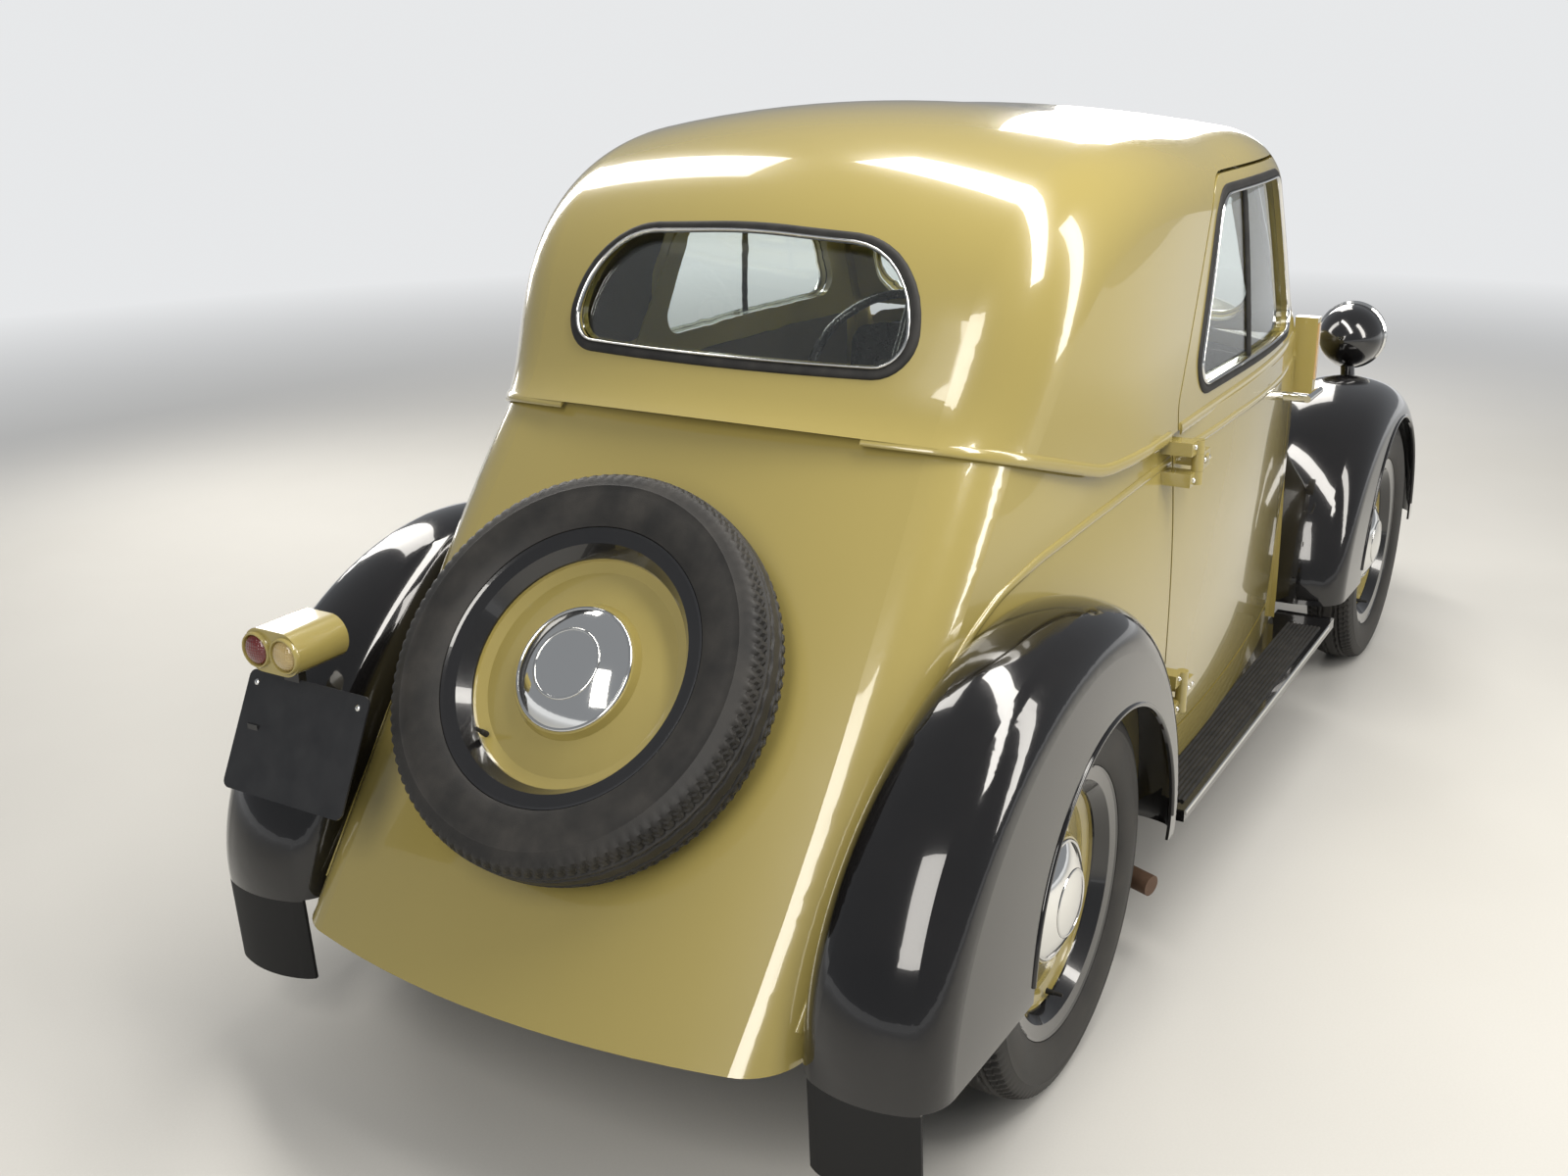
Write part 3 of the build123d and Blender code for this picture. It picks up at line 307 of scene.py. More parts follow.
def spread(points, step, loop=False):
    """Points evenly spaced, about step apart, along straight lines between the given ones."""
    points = np.asarray(points, float)
    if loop:
        points = np.concatenate([points, points[:1]])
    far = np.concatenate([[0], np.cumsum(np.linalg.norm(np.diff(points, axis=0), axis=1))])
    t = np.linspace(0, far[-1], max(int(far[-1] / step), 2) + 1)
    if loop:
        t = t[:-1]
    return np.stack([np.interp(t, far, points[:, k]) for k in range(points.shape[1])], 1)


def eased(values, turns, loop=False):
    """The rows averaged with their neighbours, turns times over; open ends stay."""
    values = np.asarray(values, float)
    for _ in range(turns):
        if loop:
            values = (np.roll(values, 1, 0) + 2 * values + np.roll(values, -1, 0)) / 4
        else:
            values = np.concatenate([values[:1], (values[:-2] + 2 * values[1:-1] + values[2:]) / 4, values[-1:]])
    return values


def panels(*names):
    """A search tree over the faces of plain nodes."""
    points, faces, start = [], [], 0
    for name in names:
        mesh = node[name].data
        co = np.empty(len(mesh.vertices) * 3)
        mesh.vertices.foreach_get("co", co)
        corners = np.empty(len(mesh.loops), int)
        mesh.loops.foreach_get("vertex_index", corners)
        points.append(co.reshape(-1, 3))
        faces.append(corners.reshape(-1, 3) + start)
        start += len(mesh.vertices)
    return BVHTree.FromPolygons(np.concatenate(points).tolist(), np.concatenate(faces).tolist())


def cast(tree, starts, aims):
    """What each ray from starts along aims meets: the place, the direction out, the face and the reach."""
    return [tree.ray_cast(Vector(s), Vector(a)) for s, a in zip(starts.reshape(-1, 3), aims.reshape(-1, 3))]


def laid(tree, starts, aim, loop=False):
    """Where rays from the starts along aim meet the panels, with the panels' eased outward directions."""
    aims = np.broadcast_to(np.asarray(aim, float), np.shape(starts))
    hits = cast(tree, starts, aims)
    kept = [k for k, hit in enumerate(hits) if hit[0] is not None]
    points = np.array([hits[k][0] for k in kept])
    out = np.array([hits[k][1] for k in kept])
    out *= -np.sign((out * aims[kept]).sum(1, keepdims=True))
    return points, unit(eased(out, 6, loop))


# The raised belt lines: an upper one pressed along the seam of roof and tail,
# and a lower one that runs from the cowl over the door and down the side of
# the tail, both rolled into the panels and painted with them. The upper one
# fades into the roof's edge towards the middle of the tail.
# Columns: x, z along the seam of roof and tail
SEAM = np.array([(-1.300, 1.040), (-1.075, 0.965), (-0.760, 0.872), (-0.500, 0.884), (0.700, 0.905)])
# Columns: x, z along the lower line
LOWER_LINE = np.array([
    (-1.520, 0.300), (-1.446, 0.385), (-1.353, 0.489), (-1.227, 0.611), (-1.154, 0.662), (-1.084, 0.709),
    (-1.011, 0.748), (-0.913, 0.777), (-0.780, 0.801), (-0.628, 0.824), (-0.450, 0.845), (-0.200, 0.851),
    (0.150, 0.846), (0.636, 0.858),
])
DOOR_REAR, DOOR_FRONT = -0.500, 0.331
belt_section = round_section(0.0100, 0.0036)
line_section = round_section(0.0070, 0.0030)


def seam_height(x):
    return np.interp(x - SHIFT, SEAM[:, 0], SEAM[:, 1]) + 0.001


def lower_height(x):
    return np.interp(x - SHIFT, LOWER_LINE[:, 0], LOWER_LINE[:, 1])


def beside(x, side, z):
    """Points at x and z that stand out past one side of the car, where rays to its side start."""
    return np.stack([x, np.full(len(x), side * 0.9), z], 1)


whole_side = panels("roof_shell", "tub_shell", "cowl")
roof_edge = panels("roof_shell")
# The upper line's rays meet the roof this far above the seam, where it is smooth
EDGE_UP = 0.006
# Where the line is sunk out of sight, and degrees from straight behind to its
# start there and from its start to its full rise
BELT_SUNK, FADE_FROM, FADE_OVER = 0.0045, 28, 24
angles = np.linspace(82, 278, 150)
turn = np.radians(angles)
outward = np.stack([np.cos(turn), np.sin(turn), np.zeros(150)], 1)
rear_path = np.array([-0.55, 0, 0.95]) + outward * 1.5
for _ in range(6):
    points, out = laid(roof_edge, rear_path + (0, 0, EDGE_UP), -outward)
    rear_path[:, 2] = seam_height(points[:, 0])
risen = np.clip((np.abs(angles - 180) - FADE_FROM) / FADE_OVER, 0, 1)[:, None]
points = eased(points, 3) + unit(out * out[:, 2:] - (0, 0, 1)) * EDGE_UP
points = points - out * BELT_SUNK * (1 - risen * risen * (3 - 2 * risen))
make_piece("belt_line_round_tail", [
    carried(points[part], out[part], belt_section) for part in (angles < 180 - FADE_FROM, angles > 180 + FADE_FROM)
], body_paint, "car_body")
for side, word in SIDES:
    x = np.linspace(DOOR_FRONT + 0.012, 0.636, 24) + SHIFT
    shapes = []
    for height, section in ((seam_height, belt_section), (lower_height, line_section)):
        points, out = laid(whole_side, beside(x, side, height(x)), (0, -side, 0))
        shapes.append(carried(points, out, section))
    tail = spread(LOWER_LINE[LOWER_LINE[:, 0] < -0.4], 0.015)
    tail = tail[tail[:, 0] < DOOR_REAR - 0.006]
    reach = beside(tail[:, 0] + SHIFT, side, tail[:, 1])
    lean = np.clip((-0.95 - tail[:, 0]) / 0.45, 0, 1) * 0.9
    aim = unit(np.stack([lean, np.full(len(tail), -side), 0 * lean], 1))
    points, out = laid(whole_side, reach - aim * 0.2 - np.stack([lean * 0.45, 0 * lean, 0 * lean], 1), aim)
    shapes.append(carried(eased(points, 2), out, line_section))
    make_piece("belt_lines_" + word, shapes, body_paint, "car_body")
    door_skin = panels("door_" + word)
    x = np.linspace(DOOR_REAR + 0.008, DOOR_FRONT - 0.006, 60) + SHIFT
    shapes = []
    for height, section in ((seam_height, belt_section), (lower_height, line_section)):
        points, out = laid(door_skin, beside(x, side, height(x)), (0, -side, 0))
        shapes.append(carried(points, out, section))
    make_piece("door_belt_lines_" + word, shapes, body_paint, "door_" + word)

# The windows: flat glass in the doors and windscreen and a bent pane behind,
# each held in a black rubber channel with a thin bright strip inside it. The
# doors' panes slide behind a black upright bar.
# Columns: x or y, z, corner radius, in metres
WINDOW = [(-0.415, 0.929, 0.040), (0.255, 0.929, 0.038), (0.125, 1.231, 0.040), (-0.270, 1.231, 0.080)]
REAR_WINDOW = [
    (-0.295, 1.040, 0.045), (0.295, 1.040, 0.045), (0.285, 1.200, 0.125), (0, 1.216, 1.2), (-0.285, 1.200, 0.125),
]
SCREEN_OPENING = [(-0.425, 0.446, 0.070), (0.425, 0.446, 0.070), (0.398, 0.776, 0.060), (-0.398, 0.776, 0.060)]
SCREEN_FOOT, SCREEN_FOOT_Z, SCREEN_LEAN = 0.563, 0.530, math.radians(27)


def round_outline(corners, steps=9):
    """Points of a closed outline of straight lines whose corners (x, y, radius) are arcs."""
    points = []
    for k, (x, y, radius) in enumerate(corners):
        p = np.array([x, y])
        u, v = (np.array(corners[j % len(corners)][:2]) - p for j in (k - 1, k + 1))
        u, v = u / np.hypot(*u), v / np.hypot(*v)
        if not radius:
            points.append(p[None])
            continue
        half = math.acos(np.clip(u @ v, -1, 1)) / 2
        cut = radius / math.tan(half)
        centre = p + (u + v) / np.hypot(*(u + v)) * radius / math.sin(half)
        a, b = p + u * cut - centre, p + v * cut - centre
        start = math.atan2(a[1], a[0])
        turn = (math.atan2(b[1], b[0]) - start + math.pi) % (2 * math.pi) - math.pi
        angle = start + turn * np.linspace(0, 1, steps)
        points.append(centre + radius * np.stack([np.cos(angle), np.sin(angle)], 1))
    return np.concatenate(points)


def grown(line, distance):
    """A closed outline, run anticlockwise, moved out sideways by a distance."""
    along = unit(np.roll(line, -1, 0) - np.roll(line, 1, 0))
    return line + distance * np.stack([along[:, 1], -along[:, 0]], 1)


glass = Finish("clear_glass", Roughness=0.0, IOR=1.45, Transmission_Weight=1.0)
glass.vary("Base Color", glass.blend(glass.noise(3, 2) * 0.5, (0.93, 0.97, 0.95, 1), (0.88, 0.93, 0.90, 1)))
glass.bump(glass.noise(6, 1), 0.0004, 0.08)
glass.dress("windscreen", "rear_window", "door_glass_left", "door_glass_right")

rubber = Finish("black_rubber", Roughness=0.62, Specular_IOR_Level=0.35)
dust = rubber.noise(38, 4)
rubber.vary("Base Color", rubber.blend(dust * dust, (0.010, 0.010, 0.010, 1), (0.045, 0.042, 0.038, 1)))
rubber.bump(rubber.noise(700, 2), 0.0004, 0.4)

bright = Finish("bright_plating", Metallic=1.0)
bright.vary("Base Color", bright.blend(bright.noise(14, 4), (0.86, 0.86, 0.84, 1), (0.70, 0.70, 0.69, 1)))
bright.vary("Roughness", bright.noise(60, 4) * 0.10 + 0.04)

seal_section = round_section(0.0075, 0.0045)
strip_section = round_section(0.0028, 0.0062)


def window_seal(name, outline, starts_at, aim, tree, body):
    """A rubber channel round a window on its panel, and the bright strip inside it."""
    line = spread(grown(outline, 0.006), 0.010, True)
    points, out = laid(tree, starts_at(line), aim, True)
    rubber_ring = make_piece(name + "_seal", [carried(points, out, seal_section, True)], rubber, body)
    tangent = unit(np.roll(points, -1, 0) - np.roll(points, 1, 0))
    inward = np.cross(tangent, out)
    middle = points.mean(0)
    inward *= np.sign(((middle - points) * inward).sum(1, keepdims=True))
    strip = carried(points + inward * 0.0095, out, strip_section, True)
    make_piece(name + "_strip", [strip], bright, body)
    return rubber_ring


for side, word in SIDES:
    body = "door_" + word
    window_seal(
        "door_window_" + word, round_outline(WINDOW), lambda line: beside(line[:, 0] + SHIFT, side, line[:, 1]),
        (0, -side, 0), panels(body), body,
    )
    pane = panels("door_glass_" + word)
    bar = beside(np.linspace(-0.075, -0.095, 12) + SHIFT, side, np.linspace(0.931, 1.229, 12))
    points, out = laid(pane, bar, (0, -side, 0))
    make_piece("sliding_pane_edge_" + word, [carried(points, out, round_section(0.009, 0.006))], rubber, body)

window_seal(
    "rear_window", round_outline(REAR_WINDOW), lambda line: np.stack([
        np.full(len(line), -2.0), line[:, 0], line[:, 1]], 1),
    (1, 0, 0), panels("roof_shell"), "car_body",
)
screen_out = np.array([math.cos(SCREEN_LEAN), 0, math.sin(SCREEN_LEAN)])
screen_up = np.array([-math.sin(SCREEN_LEAN), 0, math.cos(SCREEN_LEAN)])
screen_foot = np.array([SCREEN_FOOT + SHIFT, 0, SCREEN_FOOT_Z])


def before_screen(line):
    """Points of the leaning windscreen plane, stood 0.2 m in front of it."""
    return screen_foot + screen_out * 0.2 + line[:, :1] * np.array([0, 1, 0]) + line[:, 1:] * screen_up


window_seal(
    "windscreen", round_outline(SCREEN_OPENING), before_screen, -screen_out, panels("windscreen_frame"), "car_body")
wipers = []
for y, sweep in ((-0.05, 0.33), (0.31, 0.33)):
    foot = np.array([[y, 0.425]])
    tip = np.array([[y + 0.05, 0.425 + sweep]])
    arm = before_screen(np.concatenate([foot, tip])) - screen_out * 0.192
    wipers.append(carried(spread(arm, 0.02), screen_out, rod_section(0.0025, 8)))
    blade_line = np.stack([np.full(20, y + 0.042), np.linspace(0.53, 0.76, 20)], 1)
    blade = before_screen(blade_line) - screen_out * 0.2045
    wipers.append(carried(blade, screen_out, np.array([(-0.0035, 0), (0.0035, 0), (0.002, 0.009), (-0.002, 0.009)])))
    hub = before_screen(foot) - screen_out * 0.2
    boss = np.concatenate([hub - screen_out * 0.004, hub + screen_out * 0.012])
    wipers.append(carried(boss, (0, 1, 0), rod_section(0.009)))
make_piece("wipers", wipers, rubber, "car_body", 30)

# The doors' outside fittings: a plated pull handle, painted strap hinges with
# slotted screws, and the trafficator's amber strip let into its housing.
HINGE_X, HINGE_HEIGHTS = -0.512, (0.447, 0.840)
# How far out the faces of a hinge's body half and door half lie
BODY_HALF, DOOR_HALF = 0.584, 0.590
bright.dress("door_handle_left", "door_handle_right", "grille")


def turned(profile, centre, axis, steps=40):
    """A solid of revolution: each (along, radius) of the profile goes round the axis through centre."""
    axis = np.asarray(axis, float) / np.linalg.norm(axis)
    first = np.cross(axis, (0, 0, 1) if abs(axis[2]) < 0.9 else (1, 0, 0))
    first /= np.linalg.norm(first)
    second = np.cross(axis, first)
    a = np.linspace(0, 2 * math.pi, steps, endpoint=False)
    ring = np.cos(a)[:, None] * first + np.sin(a)[:, None] * second
    profile = np.asarray(profile, float)
    points = np.asarray(centre, float) + profile[:, None, :1] * axis + profile[:, None, 1:] * ring[None]
    return points.reshape(-1, 3), [list(f) for f in grid_faces(len(profile), steps, False, True)]


# Columns: along, radius
SCREW = [
    (-0.002, 0), (-0.002, 0.0045), (0.001, 0.0045), (0.0026, 0.003), (0.0030, 0.0012), (0.0021, 0.0008), (0.0021, 0),
]
for side, word in SIDES:
    screws = []
    for height in HINGE_HEIGHTS:
        for x, z in ((-0.016, 0.027), (-0.016, -0.027)):
            screws.append(turned(SCREW, (HINGE_X + x + SHIFT, side * BODY_HALF, height + z), (0, side, 0), 16))
    make_piece("hinge_screws_" + word, screws, bright, "car_body")
    screws = [
        turned(SCREW, (HINGE_X + x + SHIFT, side * DOOR_HALF, height), (0, side, 0), 16)
        for height in HINGE_HEIGHTS for x in (0.018, 0.038)
    ]
    make_piece("door_hinge_screws_" + word, screws, bright, "door_" + word)

amber = Finish("amber_lens", Roughness=0.12, Coat_Weight=1.0)
amber.vary("Base Color", amber.blend(amber.noise(40, 3), (0.62, 0.42, 0.20, 1), (0.50, 0.30, 0.12, 1)))
amber.bump((amber.axis("Z") * 1400).sine(), 0.0006, 0.5)
for side, word in SIDES:
    low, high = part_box("trafficator_" + word)
    y = (high.y if side > 0 else low.y)
    x0, x1 = low.x + 0.006, high.x - 0.006
    line = [(x0, low.z + 0.045), (x1, low.z + 0.045), (x1, high.z - 0.012), (x0, high.z - 0.012)]
    flat = np.array([(x, y - side * 0.001, z) for x, z in line])
    push = np.array([0, side * 0.0035, 0])
    faces = [[0, 1, 2, 3], [7, 6, 5, 4]] + [[k, (k + 1) % 4, (k + 1) % 4 + 4, k + 4] for k in range(4)]
    shape = (np.concatenate([flat, flat + push]), faces)
    make_piece("trafficator_lens_" + word, [shape], amber, "car_body")

# The wings and running boards: pressed steel in black gloss, with a rolled
# bead round each wheel opening, rubber flaps behind the rear wings, and a
# ribbed rubber mat with a bright edge on each board.
GLOSS_BLACKS = ((0.0035, 0.0035, 0.004, 1), (0.011, 0.010, 0.010, 1))
black_gloss = Finish("black_gloss", Coat_Weight=1.0, Coat_Roughness=0.02, Specular_IOR_Level=0.2)
streaks = black_gloss.noise(6, 4)
black_gloss.vary("Base Color", black_gloss.blend(streaks, *GLOSS_BLACKS))
black_gloss.vary("Roughness", streaks * 0.08 + 0.10)
black_gloss.bump(black_gloss.noise(7, 2), 0.0005, 0.2)
black_gloss.dress("wing_front_left", "wing_front_right", "running_board_left", "running_board_right")

flap_black = Finish("wing_black_over_rubber_flap", Coat_Roughness=0.02, Specular_IOR_Level=0.2)
flap = (flap_black.axis("Z") < 0.2625) * (flap_black.axis("X") < -1.42)
grain = flap_black.noise(6, 4)
flap_black.vary("Base Color", flap_black.blend(
    flap, flap_black.blend(grain, *GLOSS_BLACKS), (0.018, 0.018, 0.018, 1)))
flap_black.vary("Roughness", flap * 0.45 + grain * 0.08 + 0.10)
flap_black.vary("Coat Weight", 1.0 - flap)
flap_black.dress("wing_rear_left", "wing_rear_right")

# Columns: name, wheel opening's middle x and z, radius, first and last angle
OPENINGS = [("front", 1.000, 0.292, 0.306, 4, 176), ("rear", -0.958, 0.285, 0.290, 2, 176)]
for name, x, z, radius, first, last in OPENINGS:
    for side, word in SIDES:
        tree = panels("wing_" + name + "_" + word)
        a = np.radians(np.linspace(first, last, 90))
        starts = beside(x + SHIFT + (radius + 0.004) * np.cos(a), side, z + (radius + 0.004) * np.sin(a))
        points, out = laid(tree, starts, (0, -side, 0))
        bead = carried(eased(points, 2), out, round_section(0.004, 0.0035))
        make_piece("wing_bead_" + name + "_" + word, [bead], black_gloss, "car_body")

# A running board's first and last x, its inner and outer y, and its top
BOARD = (-0.574, 0.484, 0.500, 0.622, 0.2614)


def two_skins(upper, lower):
    """A closed sheet between two grids of points of the same size."""
    rows, columns = upper.shape[:2]
    index = np.arange(rows * columns).reshape(rows, columns)
    rim = np.concatenate([index[0], index[1:, -1], index[-1, -2::-1], index[-2:0:-1, 0]])
    after, face, total = np.roll(rim, -1), grid_faces(rows, columns), rows * columns
    faces = np.concatenate([face, face[:, ::-1] + total, np.stack([rim, after, after + total, rim + total], 1)])
    return np.concatenate([upper.reshape(-1, 3), lower.reshape(-1, 3)]), faces.tolist()


def ribbed_mat(x, y, top, ribs):
    """A closed mat on a level floor: lines along x, with ribs whose height follows a clipped sine across."""
    wave = np.clip(np.sin((y - y[0]) / (y[-1] - y[0]) * ribs * 2 * math.pi - 1.57) * 1.5, -1, 1)
    height = 0.0034 + 0.0011 * wave
    height[[0, -1]] = 0.0004
    X, Y = np.meshgrid(x, y, indexing="ij")
    return two_skins(np.stack([X, Y, top + height + 0 * X], -1), np.stack([X, Y, np.full_like(X, top - 0.0006)], -1))


for side, word in SIDES:
    x0, x1, y0, y1, top = BOARD
    low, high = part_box("running_board_" + word)
    x = np.linspace(x0 + 0.03, min(x1 - 0.06, high.x - SHIFT - 0.08), 40) + SHIFT
    mat = ribbed_mat(x, np.linspace(y0 + 0.040, y1 - 0.010, 55) * side, top, 9)
    make_piece("board_mat_" + word, [mat], rubber, "car_body", 60)
    x = np.clip(np.linspace(x0 + 0.004, x1 - 0.05, 60) + SHIFT, None, high.x - 0.03)
    line = np.stack([x, np.full(60, side * y1), np.full(60, top - 0.006)], 1)
    make_piece("board_edge_" + word, [carried(line, (0, side, 0), round_section(0.0045, 0.0022))], bright,
               "car_body")

# The wheels: pressed steel discs, black rims with body-coloured centres, and
# plated domed caps snapped over the nuts. The spare sits on the tail with its
# own cap. Each rim has a rubber valve.
CHROME = (0.86, 0.86, 0.84, 1)
CAP_RADIUS, DISC_RADIUS = 0.0905, 0.1672
# The x of each axle and the y of its wheels' middles
TRACKS = {"front": (1.000, 0.557), "rear": (-1.000, 0.5415)}
HUB_Z = 0.292
SPARE_HUB, SPARE_TILT = (-1.362 + SHIFT, 0, 0.664), math.radians(39.9)
SPARE_OUT = (-math.cos(SPARE_TILT), 0, math.sin(SPARE_TILT))


def wheel_finish(name, hub, axle):
    """Paint by distance from the axle: plated within the cap, body colour to the rim's well, black beyond."""
    made = Finish(name, Coat_Weight=1.0, Coat_Roughness=0.02)
    x, y, z = (made.axis(letter) - hub[k] for k, letter in enumerate("XYZ"))
    y = y if axle[1] == 0 else 0.0
    along = x * axle[0] + z * axle[2]
    far = (x * x + z * z - along * along + (y * y if axle[1] == 0 else 0.0)) ** 0.5
    cap, disc = far < CAP_RADIUS, far < DISC_RADIUS
    worn = made.noise(12, 4)
    paint = made.blend(worn, PAINT, PAINT_DEEP)
    black = made.blend(worn, *GLOSS_BLACKS)
    made.vary("Base Color", made.blend(cap, made.blend(disc, black, paint), CHROME))
    made.vary("Metallic", cap)
    made.vary("Roughness", worn * 0.07 + 0.16 - cap * 0.13)
    return made


for end, (x, y) in TRACKS.items():
    finish = wheel_finish("wheel_paint_" + end, (x + SHIFT, 0, HUB_Z), (0, 1, 0))
    finish.dress("wheel_" + end + "_left", "wheel_" + end + "_right")
wheel_finish("wheel_paint_spare", SPARE_HUB, SPARE_OUT).dress("spare_wheel")

# The tyres: black moulded rubber, 4.00 section on a 15 inch rim, with two
# zigzag grooves, close shoulder blocks and moulded rings on the walls.
AROUND, BLOCKS = 432, 108
# The tread's half width and its shoulders' inner edge, and the slots' slant
# in blocks a metre and their share of a block
TREAD_HALF, SHOULDER, SLANT, SLOT_SHARE = 0.0438, 0.0225, 26, 0.42
# Columns: y, radius down one wall
SIDE = np.array([
    (0.0315, 0.1905), (0.0352, 0.2036), (0.0430, 0.2042), (0.0478, 0.2120), (0.0515, 0.2260), (0.0535, 0.2400),
    (0.0539, 0.2520), (0.0531, 0.2600), (0.0538, 0.2625), (0.0526, 0.2652), (0.0512, 0.2700), (0.0490, 0.2765),
    (0.0466, 0.2815),
])
tyre_black = Finish("tyre_rubber", Specular_IOR_Level=0.35)
dusty = tyre_black.noise(17, 5)
tyre_black.vary("Base Color", tyre_black.blend(
    (dusty * dusty * 1.2).clipped(), (0.012, 0.012, 0.012, 1), (0.055, 0.050, 0.044, 1)))
tyre_black.vary("Roughness", dusty * 0.25 + 0.42)
tyre_black.bump(tyre_black.noise(600, 2), 0.0005, 0.35)


def tyre_shape():
    """A tyre about the Y axis: point = (r cos t, y, r sin t), with the tread's grooves and blocks taken off r.

    Two zigzag grooves run round at a third of the tread's half width, and slanting slots cut its shoulders.
    """
    t = np.linspace(0, 2 * math.pi, AROUND, endpoint=False)[:, None]
    block = t * BLOCKS / (2 * math.pi)
    y = np.linspace(TREAD_HALF, -TREAD_HALF, 51)[None, :]
    r = 0.2846 + 0.0070 * (1 - np.abs(y / TREAD_HALF)**2.6)
    saw = np.abs((block / 2) % 1 - 0.5) * 4 - 1
    groove = sum(np.clip(1.6 - np.abs(y - s * 0.0125 - saw * 0.0016) / 0.0020, 0, 1) for s in (-1, 1))
    slot = ((block + np.abs(y) * SLANT) % 1 < SLOT_SHARE) * np.clip((np.abs(y) - SHOULDER) / 0.002, 0, 1)
    ring = np.clip(1.5 - np.abs(np.abs(y) - SHOULDER) / 0.0016, 0, 1)
    r = r - 0.0048 * np.clip(groove + ring, 0, 1) - 0.0036 * slot
    side = np.broadcast_to(SIDE, (AROUND,) + SIDE.shape)
    notch = ((block + 0.0466 * SLANT) % 1 < SLOT_SHARE) * np.array([0.0] * 11 + [0.0012, 0.0026])
    wall = side[..., 0] - notch * 0.8
    y_all = np.concatenate([wall, np.broadcast_to(y, r.shape), -wall[:, ::-1]], 1)
    r_all = np.concatenate([side[..., 1], r, side[:, ::-1, 1]], 1)
    points = np.stack([r_all * np.cos(t), y_all, r_all * np.sin(t)], -1)
    return points.reshape(-1, 3), grid_faces(AROUND, points.shape[1], True, True).tolist()


tyre_points, tyre_faces = tyre_shape()
VALVE = [(0, 0), (0, 0.0045), (0.012, 0.004), (0.013, 0.0030), (0.026, 0.0028), (0.026, 0)]
valve_shape = turned(VALVE, (0, 0, 0), (0, 1, 0), 14)
for end, (x, y) in TRACKS.items():
    for side, word in SIDES:
        place = np.array([x + SHIFT, side * y, HUB_Z])
        body = "wheel_" + end + "_" + word
        tyre = make_piece("tyre_with_tread_" + end + "_" + word, [(tyre_points * (1, side, 1) + place, tyre_faces)],
                          tyre_black, body, 35)
        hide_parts("tyre_" + end + "_" + word)
        points = valve_shape[0] * (1, side, 1) + place + (0, side * 0.013, -0.1575)
        make_piece("valve_" + end + "_" + word, [(points, valve_shape[1])], rubber, body)
turn = np.array([(-math.sin(SPARE_TILT), 0, -math.cos(SPARE_TILT)), SPARE_OUT, (0, 1, 0)])
tyre = make_piece("spare_tyre_with_tread", [(tyre_points @ turn + SPARE_HUB, tyre_faces)],
                  tyre_black, "car_body", 35)
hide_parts("spare_tyre")
points = (valve_shape[0] + (0.115, 0.013, 0.107)) @ turn + SPARE_HUB
make_piece("valve_spare", [(points, valve_shape[1])], rubber, "car_body")

# Ridges pressed into each plated cap: one round its middle and one at its rim.
wheels = [("wheel_" + end + "_" + word, "wheel_" + end + "_" + word, (x + SHIFT, side * y, HUB_Z), (0, side, 0))
          for end, (x, y) in TRACKS.items() for side, word in SIDES]
wheels.append(("spare_wheel", "car_body", SPARE_HUB, SPARE_OUT))
for name, body, hub, out_way in wheels:
    tree = panels(name)
    rings = []
    for radius, section in ((0.050, round_section(0.0022, 0.0016)), (0.0885, round_section(0.0030, 0.0022))):
        circle = turned([(0.3, radius)], hub, out_way, 72)[0]
        points, out = laid(tree, circle, -np.array(out_way, float), True)
        rings.append(carried(points, out, section, True))
    make_piece("cap_ridges_" + name, rings, bright, body)

# The tail lamp and plate: a painted pod on a stay from the left rear wing with
# a dark red glass outboard and an amber one inboard, over a blank black plate.
POD_FACE, POD_Z = -1.530 + SHIFT, 0.675
red = Finish("red_lens", Roughness=0.10, Coat_Weight=1.0)
red.vary("Base Color", red.blend(red.noise(60, 3), (0.16, 0.008, 0.006, 1), (0.09, 0.004, 0.004, 1)))
red.bump((red.axis("Y") * 1500).sine() + (red.axis("Z") * 1500).sine(), 0.0005, 0.5)
cream = Finish("pale_amber_lens", Roughness=0.12, Coat_Weight=1.0)
cream.vary("Base Color", cream.blend(cream.noise(60, 3), (0.50, 0.38, 0.16, 1), (0.36, 0.25, 0.09, 1)))
cream.bump((cream.axis("Y") * 1500).sine() + (cream.axis("Z") * 1500).sine(), 0.0005, 0.5)
LENS = [
    (-0.002, 0), (-0.002, 0.0225), (0.002, 0.0222), (0.006, 0.0195), (0.0088, 0.0140), (0.0100, 0.0070), (0.0104, 0),
]
RIM = [(-0.002, 0.0222), (-0.002, 0.0275), (0.004, 0.0272), (0.0062, 0.0255), (0.0062, 0.0236), (0.003, 0.0222)]
for name, y, finish in (("tail_lens_outer", 0.4475, red), ("tail_lens_inner", 0.3925, cream)):
    make_piece(name, [turned(LENS, (POD_FACE, y, POD_Z), (-1, 0, 0))], finish, "car_body")
    ring = turned(RIM + RIM[:1], (POD_FACE, y, POD_Z), (-1, 0, 0))
    make_piece(name + "_rim", [ring], body_paint, "car_body")

